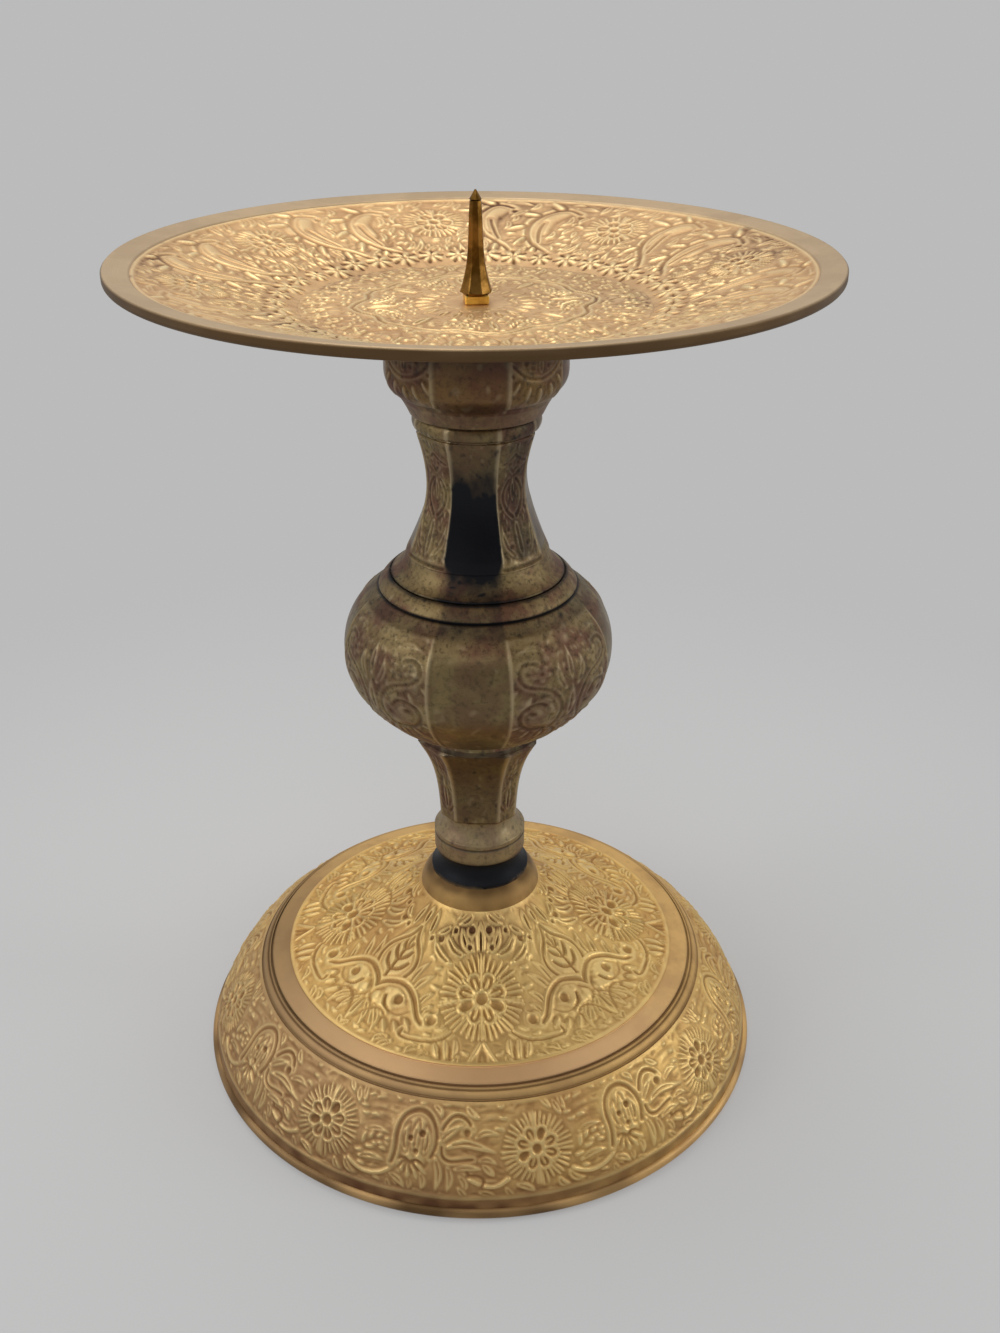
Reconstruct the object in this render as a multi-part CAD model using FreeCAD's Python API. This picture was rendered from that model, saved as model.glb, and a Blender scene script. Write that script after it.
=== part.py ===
import FreeCAD
import Part
import math
import os

Vector = FreeCAD.Vector

# All sizes are in millimetres. The origin is the middle of the foot's resting plane, +Z up.

# Foot: a hollow cast dome
foot_radius = 71.6
foot_height = 49.2
foot_wall = 2.6
foot_rim_height = 3.3
foot_rim_bow = 0.8
foot_rim_step = 0.4
foot_edge_chamfer = 0.8
skirt_top_radius = 57.3
skirt_top_height = 23.0
skirt_bow = 1.95
ring_width = 2.0
ring_rise = 1.6
ring_bow = 0.35
ring_groove_width = 0.5
ring_groove_depth = 0.45
band_width = 4.6
band_rise = 0.8
medallion_step = 0.35
medallion_sag = 2.4
boss_radius = 15.0
boss_height = 4.7
boss_bow = 0.5
boss_roof = 8.0
boss_root_radius = 16.5

# Threaded rod that draws the stem together
rod_radius = 3.0
rod_clearance = 0.2
rod_tail = 2.4
rod_end_chamfer = 0.5
nut_width = 10.0
nut_height = 5.0
nut_chamfer = 0.8
washer_radius = 9.0
washer_thickness = 1.6

# Lower stem: cove, collar and faceted waist
lower_stem_height = 41.6
stem_lip_radius = 12.2
stem_lip_height = 0.9
cove_radius = 10.5
collar_start = 6.5
collar_height = 5.6
collar_radius = 11.3
collar_line_depth = 0.35
collar_line_width = 0.5
collar_line_place = 4.2
waist_radius = 9.25
waist_top_radius = 14.9
waist_flare_bow = 1.0
waist_core_radius = 5.6
waist_core_floor = 9.0

# Bulb: a hollow casting with four raised panels
bulb_height = 40.3
bulb_radius = 31.35
bulb_foot_radius = 15.4
bulb_foot_ring = 1.7
waist_cap_height = 1.9
bulb_wall = 3.2
bulb_panel_rise = 0.55
bulb_panel_low = 4.3
bulb_panel_high = 34.5
bulb_groove_radius = 23.1
bulb_groove_place = 37.0
groove_depth = 0.45
groove_width = 0.6
shoulder_radius = 20.2
bulb_mouth_radius = 14.0

# Neck: eight-sided, between the bulb's shoulder and the cup
neck_height = 37.6
neck_waist_radius = 10.95
neck_round_top = 5.2
neck_band_height = 3.2
neck_band_radius = 14.2
neck_band_bow = 0.35
neck_spigot_length = 4.0
neck_spigot_clearance = 0.15
neck_core_radius = 7.0
neck_roof = 9.0

# Cup under the dish
cup_height = 20.9
cup_radius = 19.85
cup_panel_rise = 0.45
cup_panel_low = 5.0
cup_panel_high = 17.5
cup_web = 3.0

# Dish
dish_radius = 75.0
dish_depth = 10.3
dish_floor_radius = 37.0
dish_wall = 2.0
dish_border = 5.2
dish_border_rise = 0.8
dish_rim_thickness = 2.3
dish_rim_round = 0.7
dish_border_step = 0.3

# Spike with its square collar
spike_height = 20.8
spike_foot_radius = 3.3
spike_neck_radius = 1.15
spike_tip_height = 1.9
spike_tip_radius = 1.3
spike_point_radius = 0.15
spike_foot_chamfer = 0.5
spike_undercut = 0.25
spike_thread_radius = 1.5
spike_thread_clearance = 0.1
spike_thread_length = 8.0
spike_collar_side = 5.0
spike_collar_height = 1.9
spike_collar_chamfer = 0.25
spike_collar_turn = 10.0

overrun = 1.0

# Directions and counts
panel_count = 4
eighth_turn = 45.0
full_turn = 360.0
hexagon_sides = 6

# A raised panel covers this share of its quarter of the bulb or cup
bulb_panel_share = 0.62
cup_panel_share = 0.48

# Flats of the eight-sided pieces: how far the carved ones stand out, and the rounding of the corners
neck_carved_share = 1.05
waist_carved_share = 1.09
neck_corner_share = 1.075
waist_corner_share = 1.12
spike_corner_share = 1.06

# Flowing outlines, as shares of (radius, height)
waist_shares = ((1.0, 0.0), (1.045, 0.3), (1.155, 0.6), (1.36, 0.86), (1.53, 1.0))
bulb_shares = ((0.62, 0.083), (0.785, 0.185), (0.935, 0.335), (1.0, 0.555), (0.92, 0.765), (0.81, 0.86))
neck_shares = ((1.48, 0.0), (1.21, 0.23), (1.005, 0.51), (1.0, 0.67), (1.085, 0.88), (1.17, 1.0))
cup_shares = ((0.74, 0.0), (0.86, 0.2), (0.985, 0.36), (1.0, 0.53), (0.985, 0.8), (0.93, 1.0))
spike_shares = ((1.0, 0.0), (0.76, 0.15), (0.575, 0.32), (0.48, 0.5), (0.35, 1.0))

# Heights of the joints, from the floor up
stem_base = foot_height
bulb_base = stem_base + lower_stem_height
neck_base = bulb_base + bulb_height
cup_base = neck_base + neck_height
dish_base = cup_base + cup_height
dish_floor = dish_base + dish_wall
spike_base = dish_floor + spike_collar_height
rod_hole_radius = rod_radius + rod_clearance
spike_hole_radius = spike_thread_radius + spike_thread_clearance
washer_top = foot_height - boss_roof
nut_top = washer_top - washer_thickness
rod_bottom = nut_top - nut_height - rod_tail
spike_thread_bottom = dish_base - spike_thread_length
rod_top = spike_thread_bottom - cup_web


def place(radius, height):
    return Vector(radius, 0, height)


def spline_edge(points):
    curve = Part.BSplineCurve()
    curve.interpolate([place(*point) for point in points])
    return curve.toShape()


# Each step of an outline is a point for a straight run, a point and a bow for an arc,
# or a list of points for a flowing curve. A positive bow swells to the right of the way it goes.
def outline_edges(start, steps):
    edges = []
    here = start
    for step in steps:
        if isinstance(step, list):
            edges.append(spline_edge([here] + step))
            here = step[-1]
            continue
        there = step[:2]
        first = place(*here)
        last = place(*there)
        if len(step) == len(there):
            edges.append(Part.LineSegment(first, last).toShape())
        else:
            run = last - first
            side = Vector(run.z, 0, -run.x).normalize()
            middle = (first + last) / 2 + side * step[-1]
            edges.append(Part.Arc(first, middle, last).toShape())
        here = there
    return edges


def closed_face(start, steps):
    edges = outline_edges(start, steps + [start])
    return Part.Face(Part.Wire(edges))


def turned(start, steps, angle=full_turn):
    return closed_face(start, steps).revolve(Vector(0, 0, 0), Vector(0, 0, 1), angle)


def cylinder(radius, bottom, top):
    return Part.makeCylinder(radius, top - bottom, place(0, bottom))


def turned_about(shape, angle):
    copy = shape.copy()
    copy.rotate(Vector(0, 0, 0), Vector(0, 0, 1), angle)
    return copy


def save(name, shape):
    shape.exportStep("parts/" + name + ".step")


def scaled_points(shares, radius, base, height, swell):
    return [(radius * across * swell, base + height * up) for across, up in shares]


# One pair of opposite flats: the outline and its mirror image, drawn through across the piece
def flats(points, half_depth):
    low = points[0]
    high = points[-1]
    right = outline_edges((0, low[1]), [low, points[1:], (0, high[1])])
    axis = Part.LineSegment(place(0, high[1]), place(0, low[1])).toShape()
    half = Part.Face(Part.Wire(right + [axis]))
    other = half.mirror(Vector(0, 0, 0), Vector(1, 0, 0))
    both = half.fuse(other).removeSplitter()
    both.translate(Vector(0, -half_depth, 0))
    return both.extrude(Vector(0, 2 * half_depth, 0))


# An eight-sided piece is what four such pairs have in common, with its corners rounded off
def eight_sided(shares, radius, base, height, carved_share, round_share):
    widest = max(across for across, up in shares) * radius * carved_share + overrun
    body = None
    for index in range(panel_count):
        swell = carved_share if index % 2 else 1
        pair = flats(scaled_points(shares, radius, base, height, swell), widest)
        pair = turned_about(pair, eighth_turn * index)
        body = pair if body is None else body.common(pair)
    points = scaled_points(shares, radius, base, height, round_share)
    top = points[-1][1]
    return body.common(turned((0, base), [points[0], points[1:], (0, top)]))


def foot_base():
    rim_inner = foot_radius - foot_rim_bow
    skirt_foot_radius = rim_inner - foot_rim_step
    ring_outer_radius = skirt_top_radius - ring_groove_width
    ring_inner_radius = ring_outer_radius - ring_width
    ring_foot = skirt_top_height + ring_groove_depth
    ring_top = ring_foot + ring_rise
    band_outer_radius = ring_inner_radius - ring_groove_width
    band_inner_radius = band_outer_radius - band_width
    band_foot = ring_top + ring_groove_depth
    band_top = band_foot + band_rise
    inner_rim = skirt_foot_radius - foot_wall
    return turned((rod_hole_radius, foot_height), [
        (rod_hole_radius, washer_top),
        (boss_root_radius, washer_top),
        (band_inner_radius - foot_wall, band_top - foot_wall, medallion_sag),
        (skirt_top_radius - foot_wall, skirt_top_height - foot_wall),
        (inner_rim, foot_rim_height, -skirt_bow),
        (inner_rim, 0),
        (rim_inner - foot_edge_chamfer, 0),
        (rim_inner, foot_edge_chamfer),
        (rim_inner, foot_rim_height, foot_rim_bow),
        (skirt_foot_radius, foot_rim_height),
        (skirt_top_radius, skirt_top_height, skirt_bow),
        (ring_outer_radius, skirt_top_height),
        (ring_outer_radius, ring_foot),
        (ring_inner_radius, ring_top, ring_bow),
        (ring_inner_radius, ring_top - ring_groove_depth),
        (band_outer_radius, ring_top - ring_groove_depth),
        (band_outer_radius, band_foot),
        (band_inner_radius, band_top),
        (band_inner_radius, band_top + medallion_step),
        (boss_radius, foot_height - boss_height, -medallion_sag),
        (stem_lip_radius, foot_height, boss_bow),
    ])


def lower_stem():
    collar_low = stem_base + collar_start
    collar_top = collar_low + collar_height
    line_place = collar_low + collar_line_place
    line_half = collar_line_width / 2
    waist_base = collar_top + collar_height
    flare_top = bulb_base - waist_cap_height
    foot = turned((0, stem_base), [
        (stem_lip_radius, stem_base),
        (stem_lip_radius, stem_base + stem_lip_height),
        (cove_radius, collar_low, -stem_lip_height),
        (collar_radius, collar_low),
        (collar_radius, line_place - line_half),
        (collar_radius - collar_line_depth, line_place),
        (collar_radius, line_place + line_half),
        (collar_radius, collar_top),
        (waist_radius, waist_base, -waist_flare_bow),
        (0, waist_base),
    ])
    waist = eight_sided(waist_shares, waist_radius, waist_base, flare_top - waist_base,
                        waist_carved_share, waist_corner_share)
    cap = turned((0, flare_top), [
        (waist_top_radius, flare_top),
        (waist_top_radius, bulb_base),
        (0, bulb_base),
    ])
    body = foot.fuse([waist, cap])
    body = body.cut(cylinder(rod_hole_radius, stem_base - overrun, bulb_base + overrun))
    core = cylinder(waist_core_radius, stem_base + waist_core_floor, bulb_base + overrun)
    return body.cut(core).removeSplitter()


def bulb_points(swell):
    low = (bulb_foot_radius, bulb_base + bulb_foot_ring)
    points = scaled_points(bulb_shares, bulb_radius, bulb_base, bulb_height, 1)
    return [low] + [(radius + swell, height) for radius, height in points]


def raised_panels(points, low, high, core_radius, panel_share):
    sweep = full_turn / panel_count * panel_share
    shell = turned((core_radius, points[0][1]), [
        points[0],
        points[1:],
        (core_radius, points[-1][1]),
    ], sweep)
    ring = Part.makeCylinder(bulb_radius + cup_radius, high - low, place(0, low))
    panel = shell.common(ring)
    quarter = full_turn / panel_count
    return [turned_about(panel, quarter * (index + 1 / 2) - sweep / 2) for index in range(panel_count)]


def stem_bulb():
    groove_height = bulb_base + bulb_groove_place
    outer = bulb_points(0)
    inner = [(radius - bulb_wall, height) for radius, height in outer[2:]]
    mouth_base = neck_base - neck_spigot_length - bulb_wall
    solid = turned((0, bulb_base), [
        (bulb_foot_radius, bulb_base),
        outer[0],
        outer[1:],
        (bulb_groove_radius + groove_width / 2, groove_height - groove_width / 2),
        (bulb_groove_radius - groove_depth, groove_height),
        (bulb_groove_radius - groove_width / 2, groove_height + groove_width / 2),
        (shoulder_radius, neck_base, groove_depth / 2),
        (0, neck_base),
    ])
    panels = raised_panels(bulb_points(bulb_panel_rise), bulb_base + bulb_panel_low,
                           bulb_base + bulb_panel_high, bulb_foot_radius - bulb_wall, bulb_panel_share)
    cavity = turned((0, inner[0][1]), [
        inner[0],
        inner[1:],
        (bulb_mouth_radius, mouth_base),
        (0, mouth_base),
    ])
    solid = solid.fuse(panels).cut(cavity)
    mouth = cylinder(bulb_mouth_radius, mouth_base - overrun, neck_base + overrun)
    rod_hole = cylinder(rod_hole_radius, bulb_base - overrun, neck_base)
    return solid.cut([mouth, rod_hole]).removeSplitter()


def stem_neck():
    spigot_radius = bulb_mouth_radius - neck_spigot_clearance
    facets_base = neck_base + neck_round_top
    band_base = cup_base - neck_band_height
    facets_top = band_base - groove_width
    facets = eight_sided(neck_shares, neck_waist_radius, facets_base, facets_top - facets_base,
                         neck_carved_share, neck_corner_share)
    shoulder_top = neck_shares[0][0] * neck_waist_radius
    neck_foot_radius = shoulder_radius - groove_depth
    shoulder = turned((0, neck_base), [
        (neck_foot_radius, neck_base),
        (neck_foot_radius, neck_base + groove_width / 2),
        (shoulder_top, facets_base, -groove_width),
        (0, facets_base),
    ])
    band = turned((0, facets_top), [
        (neck_band_radius - groove_depth - groove_width, facets_top),
        (neck_band_radius - groove_depth - groove_width, band_base),
        (neck_band_radius - neck_band_bow, band_base),
        (neck_band_radius - neck_band_bow, cup_base - groove_width, neck_band_bow),
        (neck_band_radius - groove_depth - groove_width, cup_base),
        (0, cup_base),
    ])
    spigot = cylinder(spigot_radius, neck_base - neck_spigot_length, neck_base)
    body = facets.fuse([shoulder, band, spigot])
    core = cylinder(neck_core_radius, neck_base - neck_spigot_length - overrun, cup_base - neck_roof)
    rod_hole = cylinder(rod_hole_radius, neck_base, cup_base + overrun)
    return body.cut([core, rod_hole]).removeSplitter()


def plate_cup():
    def cup_points(swell):
        points = scaled_points(cup_shares, cup_radius, cup_base, cup_height, 1)
        return [(radius + swell, height) for radius, height in points]

    outer = cup_points(0)
    solid = turned((0, cup_base), [outer[0], outer[1:], (0, dish_base)])
    panels = raised_panels(cup_points(cup_panel_rise), cup_base + cup_panel_low,
                           cup_base + cup_panel_high, neck_band_radius - cup_web, cup_panel_share)
    rod_hole = cylinder(rod_radius, cup_base - overrun, rod_top)
    thread_hole = cylinder(spike_thread_radius, spike_thread_bottom, dish_base + overrun)
    return solid.fuse(panels).cut([rod_hole, thread_hole]).removeSplitter()


def drip_plate():
    border_radius = dish_radius - dish_border
    rim_top = dish_floor + dish_depth
    border_base = rim_top - dish_border_rise
    wall_top = border_base - dish_border_step
    return turned((spike_hole_radius, dish_base), [
        (dish_floor_radius, dish_base),
        (border_radius, wall_top - dish_wall),
        (dish_radius - dish_rim_round, rim_top - dish_rim_thickness),
        (dish_radius, rim_top - dish_rim_thickness + dish_rim_round, dish_rim_round / 4),
        (dish_radius, rim_top - dish_rim_round / 2),
        (dish_radius - dish_rim_round / 2, rim_top),
        (border_radius, border_base),
        (border_radius - dish_border_step, wall_top),
        (dish_floor_radius, dish_floor),
        (spike_hole_radius, dish_floor),
    ])


def spike_collar():
    half = spike_collar_side / 2
    block = Part.makeBox(spike_collar_side, spike_collar_side, spike_collar_height,
                         Vector(-half, -half, dish_floor))
    block = block.makeChamfer(spike_collar_chamfer, block.Edges)
    block = block.cut(cylinder(spike_hole_radius, dish_floor - overrun, spike_base + overrun))
    return turned_about(block, spike_collar_turn)


def pricket_spike():
    foot_top = spike_base + spike_foot_chamfer
    tip_base = spike_base + spike_height - spike_tip_height
    shaft_top = tip_base - spike_undercut
    body = eight_sided(spike_shares, spike_foot_radius, foot_top, shaft_top - foot_top,
                       1, spike_corner_share)
    foot = turned((0, spike_base), [
        (spike_foot_radius - spike_foot_chamfer, spike_base),
        (spike_foot_radius, foot_top),
        (0, foot_top),
    ])
    tip = turned((0, shaft_top), [
        (spike_neck_radius - spike_undercut, shaft_top),
        (spike_tip_radius, tip_base),
        (spike_point_radius, tip_base + spike_tip_height),
        (0, tip_base + spike_tip_height),
    ])
    thread = cylinder(spike_thread_radius, spike_thread_bottom, spike_base)
    return body.fuse([foot, tip, thread]).removeSplitter()


def tie_rod():
    return turned((0, rod_bottom), [
        (rod_radius - rod_end_chamfer, rod_bottom),
        (rod_radius, rod_bottom + rod_end_chamfer),
        (rod_radius, rod_top - rod_end_chamfer),
        (rod_radius - rod_end_chamfer, rod_top),
        (0, rod_top),
    ])


def base_washer():
    return turned((rod_hole_radius, nut_top), [
        (washer_radius, nut_top),
        (washer_radius, washer_top),
        (rod_hole_radius, washer_top),
    ])


def base_nut():
    corner = nut_width / 2 / math.cos(math.pi / hexagon_sides)
    angles = [2 * math.pi * index / hexagon_sides for index in range(hexagon_sides + 1)]
    nut_bottom = nut_top - nut_height
    points = [Vector(corner * math.cos(a), corner * math.sin(a), nut_bottom) for a in angles]
    prism = Part.Face(Part.makePolygon(points)).extrude(Vector(0, 0, nut_height))
    crown = turned((rod_radius, nut_bottom), [
        (corner - nut_chamfer, nut_bottom),
        (corner, nut_bottom + nut_chamfer / 2),
        (corner, nut_top - nut_chamfer / 2),
        (corner - nut_chamfer, nut_top),
        (rod_radius, nut_top),
    ])
    return prism.common(crown)


pieces = {
    "foot_base": foot_base,
    "base_washer": base_washer,
    "base_nut": base_nut,
    "tie_rod": tie_rod,
    "lower_stem": lower_stem,
    "stem_bulb": stem_bulb,
    "stem_neck": stem_neck,
    "plate_cup": plate_cup,
    "drip_plate": drip_plate,
    "spike_collar": spike_collar,
    "pricket_spike": pricket_spike,
}

os.makedirs("parts", exist_ok=True)
for name, make in pieces.items():
    shape = make()
    save(name, shape)
    print(name, len(shape.Solids), "solid", round(shape.Volume), "mm3", "valid" if shape.isValid() else "BAD")
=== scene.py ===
# Brass pricket candle stand: chased relief, brass finishes, floor, lamps and camera.
# Sizes are in millimetres until a mesh is made. Angles are in degrees, turned from the front.
import bpy
import math
import numpy as np
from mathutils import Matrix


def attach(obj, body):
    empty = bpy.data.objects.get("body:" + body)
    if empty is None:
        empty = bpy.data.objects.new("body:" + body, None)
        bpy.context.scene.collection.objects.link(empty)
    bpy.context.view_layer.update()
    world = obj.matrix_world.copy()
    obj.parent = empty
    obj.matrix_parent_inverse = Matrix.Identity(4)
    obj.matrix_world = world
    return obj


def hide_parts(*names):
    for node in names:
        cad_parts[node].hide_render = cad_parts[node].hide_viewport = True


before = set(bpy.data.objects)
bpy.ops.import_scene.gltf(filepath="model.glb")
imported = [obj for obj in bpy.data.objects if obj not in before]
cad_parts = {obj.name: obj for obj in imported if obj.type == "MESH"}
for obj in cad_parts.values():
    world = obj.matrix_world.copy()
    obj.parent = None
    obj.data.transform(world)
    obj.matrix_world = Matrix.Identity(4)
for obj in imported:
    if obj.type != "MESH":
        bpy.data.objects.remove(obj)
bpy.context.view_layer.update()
print("stage 1: frame loaded with", len(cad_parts), "nodes")

milli = 0.001
sheetCell = 0.12        # spacing of the heights on a carving sheet
strokeStep = 0.16       # spacing of the points along a line of carving
eighthTurn = math.radians(45)


# curves and outlines

def flow(points, step):
    # a smooth line through the points, in even steps
    through = np.array(points, float)
    chord = np.concatenate([[0], np.cumsum(np.hypot(*np.diff(through, axis=0).T))])
    count = len(through)
    gaps = np.diff(chord)
    bends = np.zeros((count, 2))
    if count > 2:
        rows = np.eye(count)
        for i in range(1, count - 1):
            rows[i, i - 1:i + 2] = gaps[i - 1], 2 * (gaps[i - 1] + gaps[i]), gaps[i]
            bends[i] = 6 * ((through[i + 1] - through[i]) / gaps[i] - (through[i] - through[i - 1])
                / gaps[i - 1])
        bends = np.linalg.solve(rows, bends)
    along = np.linspace(0, chord[-1], max(2, int(chord[-1] / step) + 1))
    k = np.clip(np.searchsorted(chord, along, side="right") - 1, 0, count - 2)
    gap = gaps[k][:, None]
    before = (chord[k + 1] - along)[:, None] / gap
    after = 1 - before
    curve = (before ** 3 - before) * bends[k] + (after ** 3 - after) * bends[k + 1]
    return before * through[k] + after * through[k + 1] + curve * gap ** 2 / 6


def arc(start, end, bow, step):
    # bow is how far the arc's middle swells to the right of the straight way
    start, end = np.array(start, float), np.array(end, float)
    run = end - start
    length = np.hypot(*run)
    side = np.array([run[1], -run[0]]) / length
    radius = (length ** 2 / 4 + bow ** 2) / (2 * abs(bow))
    half = math.asin(min(1, length / 2 / radius))
    swing = np.linspace(-half, half, max(3, int(length / step) + 1))[:, None]
    middle = (start + end) / 2
    rise = radius * (np.cos(swing) - math.cos(half)) * math.copysign(1, bow)
    return middle + run / length * radius * np.sin(swing) + side * rise


def outline(start, steps, step=0.35):
    # a step is a point for a straight run, a point and a bow for an arc, or a list to flow through
    runs = [np.array([start], float)]
    for part in steps:
        here = tuple(runs[-1][-1])
        if isinstance(part, list):
            run = flow([here] + part, step)
        elif len(part) == 3:
            run = arc(here, part[:2], part[2], step)
        else:
            length = math.dist(here, part)
            run = np.linspace(here, part, max(2, int(length / step) + 1))
        runs.append(run[1:])
    return np.concatenate(runs)


def unit(value):
    return np.clip(value, 0, 1)


def smoothStep(value, low, high):
    share = unit((value - low) / (high - low))
    return share * share * (3 - 2 * share)


def between(value, low, lowEnd, highStart, high):
    # 1 from lowEnd to highStart and 0 past low and high
    return smoothStep(value, low, lowEnd) * (1 - smoothStep(value, highStart, high))


def bell(value, middle, spread):
    return np.exp(-((value - middle) / spread) ** 2)


def wrapped(theta):
    # the same angle, from -180 to 180
    return (theta + 180) % 360 - 180


# carving sheets: flat maps of the height of the metal

def soften(field, reach, wraps):
    # spreads a field over about reach cells each way
    for axis in (0, 1):
        spread = np.arange(-2 * reach, 2 * reach + 1)
        weights = np.exp(-(spread / reach) ** 2)
        weights /= weights.sum()
        mode = "wrap" if wraps and axis == 1 else "edge"
        pads = [(0, 0), (0, 0)]
        pads[axis] = (2 * reach, 2 * reach)
        padded = np.pad(field, pads, mode=mode)
        total = np.zeros_like(field)
        size = field.shape[axis]
        for i, weight in enumerate(weights):
            part = padded[i:i + size] if axis == 0 else padded[:, i:i + size]
            total += weight * part
        field = total
    return field


def wander(shape, cells, seedNumber):
    # slow, even unevenness from -1 to 1, the same each run
    source = np.random.default_rng(seedNumber).uniform(-1, 1, shape)
    smooth = soften(source, cells, True)
    return smooth / np.abs(smooth).max()


def patchy(field, cells, seedNumber):
    # the same unevenness from 0 to 1, for a field of places
    return 0.5 + 0.5 * wander(field.shape, cells, seedNumber)


def newSheet(width, height, worn=1, wraps=False):
    # the ground starts lumpy, as a worn casting is between its ornaments
    # worn is how many cells its edges are rounded over
    gaps = int(round(width / sheetCell))
    shape = int(round(height / sheetCell)) + 1, gaps if wraps else gaps + 1
    ground = 0.24 * wander(shape, 9, shape[0]) + 0.12 * wander(shape, 4, shape[1]) - 0.12
    return {"level": ground, "used": np.zeros(shape, bool), "cell": width / gaps, "wraps": wraps,
        "worn": worn}


def patch(sheet, low, high):
    # the cells between two corners, and where each lies
    cell = sheet["cell"]
    tall, wide = sheet["level"].shape
    lastRow = min(tall - 1, math.ceil(high[1] / cell))
    rows = np.arange(max(0, math.floor(low[1] / cell)), lastRow + 1)
    columns = np.arange(math.floor(low[0] / cell), math.ceil(high[0] / cell) + 1)
    if not sheet["wraps"]:
        columns = columns[(columns >= 0) & (columns < wide)]
    return np.ix_(rows, columns % wide), columns * cell, rows * cell


def stroke(sheet, points, width, height, ends=(1, 0.6), halo=0.45, sinking=0.22, cut=False):
    # one rounded line: full width in its middle, and the given shares of it at its ends
    # a raised line has a sunk margin, as a chasing punch leaves it; a cut one only goes down
    path = flow(points, strokeStep)
    bulge = np.interp(np.linspace(0, 1, len(path)), [0, 0.45, 1], [ends[0], 1, ends[1]])
    swell = np.sin(bulge * math.pi / 2)
    reach = np.maximum(width / 2 * swell, sheet["cell"])
    margin = reach.max() + (0 if cut else halo) + sheet["cell"]
    cells, xs, ys = patch(sheet, path.min(0) - margin, path.max(0) + margin)
    if not len(xs) or not len(ys):
        return
    bump = np.zeros((len(ys), len(xs)))
    around = np.zeros_like(bump)
    for (x, y), far, share in zip(path, reach, swell):
        left, right = np.searchsorted(xs, (x - far - halo, x + far + halo))
        top, bottom = np.searchsorted(ys, (y - far - halo, y + far + halo))
        gap = np.hypot(xs[None, left:right] - x, ys[top:bottom, None] - y)
        part = bump[top:bottom, left:right]
        np.maximum(part, unit(1 - (gap / far) ** 2) * (0.4 + 0.6 * share), out=part)
        part = around[top:bottom, left:right]
        np.maximum(part, unit(1 - (gap - far) / halo), out=part)
    field = sheet["level"][cells]
    if cut:
        field = np.minimum(field, np.where(bump > 0, -height * np.sqrt(bump), field))
    else:
        around = around * around * (3 - 2 * around)
        field = field * (1 - around) + np.minimum(field, -sinking) * around
        field = np.where(bump > 0, -sinking + (height + sinking) * bump ** 0.6, field)
    sheet["level"][cells] = field
    sheet["used"][cells] |= around > 0.3


def groove(sheet, points, width=0.9, depth=0.35, ends=(0.7, 0.5)):
    stroke(sheet, points, width, depth, ends, cut=True)


def vine(sheet, points, width=1.0, depth=0.42, ends=(0.7, 0.7)):
    # a stem drawn as one deep line between two soft lips
    stroke(sheet, points, width * 2.5, 0.16, (0.8, 0.8), 0.3, 0.1)
    groove(sheet, points, width, depth, ends)


def leaf(sheet, points, width, height=0.3, vein=0.28):
    # a pointed, puffed leaf with a cut vein
    stroke(sheet, points, width, height, (0.3, 0.08))
    if vein:
        spine = flow(points, strokeStep)
        inner = spine[int(len(spine) * 0.12):max(int(len(spine) * 0.72), 4)]
        groove(sheet, [inner[0], inner[len(inner) // 2], inner[-1]], 0.5, vein, (0.8, 0.3))


def finger(sheet, x, y, length, width, turn):
    # one lobe of an acanthus: a puffed tongue inside a deep arch; turn 0 points down the sheet
    across = np.array([math.cos(math.radians(turn)), math.sin(math.radians(turn))])
    ahead = np.array([-across[1], across[0]])
    side, reach = across * width, ahead * length
    root = np.array([x, y])
    arch = [root - side + reach * 0.7, root - side * 0.85 + reach * 0.15,
        root - ahead * width * 0.35, root + side * 0.85 + reach * 0.15, root + side + reach * 0.7]
    groove(sheet, arch, 0.75, 0.36, (0.4, 0.4))
    stroke(sheet, [root + reach * 0.18, root + reach * 0.6, root + reach], width * 1.05, 0.32,
        (0.7, 0.4), 0.2, 0.1)


def frond(sheet, points, count, length, width, height, lean):
    # a fern or acanthus leaf: a spine with lobes that shorten towards its tip
    path = flow(points, strokeStep)
    for share in np.linspace(0.06, 0.93, count):
        place = int(share * (len(path) - 2))
        root = path[place]
        ahead = path[place + 1] - root
        ahead = ahead / np.hypot(*ahead)
        size = length * (1.05 - 0.7 * share)
        for turn in (math.radians(lean), -math.radians(lean)):
            out = np.array([ahead[0] * math.cos(turn) - ahead[1] * math.sin(turn),
                ahead[0] * math.sin(turn) + ahead[1] * math.cos(turn)])
            bend = root + out * size * 0.55 + ahead * size * 0.08
            tip = root + out * size * 0.8 + ahead * size * 0.45
            stroke(sheet, [root, bend, tip], width, height, (0.9, 0.3), 0.3, 0.2)
    groove(sheet, points, 0.6, 0.25, (1, 0.3))


def disc(sheet, x, y, radius, height, power=0.5):
    # a round spot, raised or, with a height below nothing, sunk
    cells, xs, ys = patch(sheet, (x - radius, y - radius), (x + radius, y + radius))
    share = unit(1 - np.hypot(xs[None, :] - x, ys[:, None] - y) ** 2 / radius ** 2) ** power
    field = sheet["level"][cells]
    if height > 0:
        sheet["level"][cells] = np.maximum(field, height * share)
    else:
        sheet["level"][cells] = np.minimum(field, np.where(share > 0, height * share, field))
    sheet["used"][cells] |= share > 0


def pit(sheet, x, y, radius, depth=0.4):
    disc(sheet, x, y, radius * 1.5, 0.14)
    disc(sheet, x, y, radius, -depth)


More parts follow.
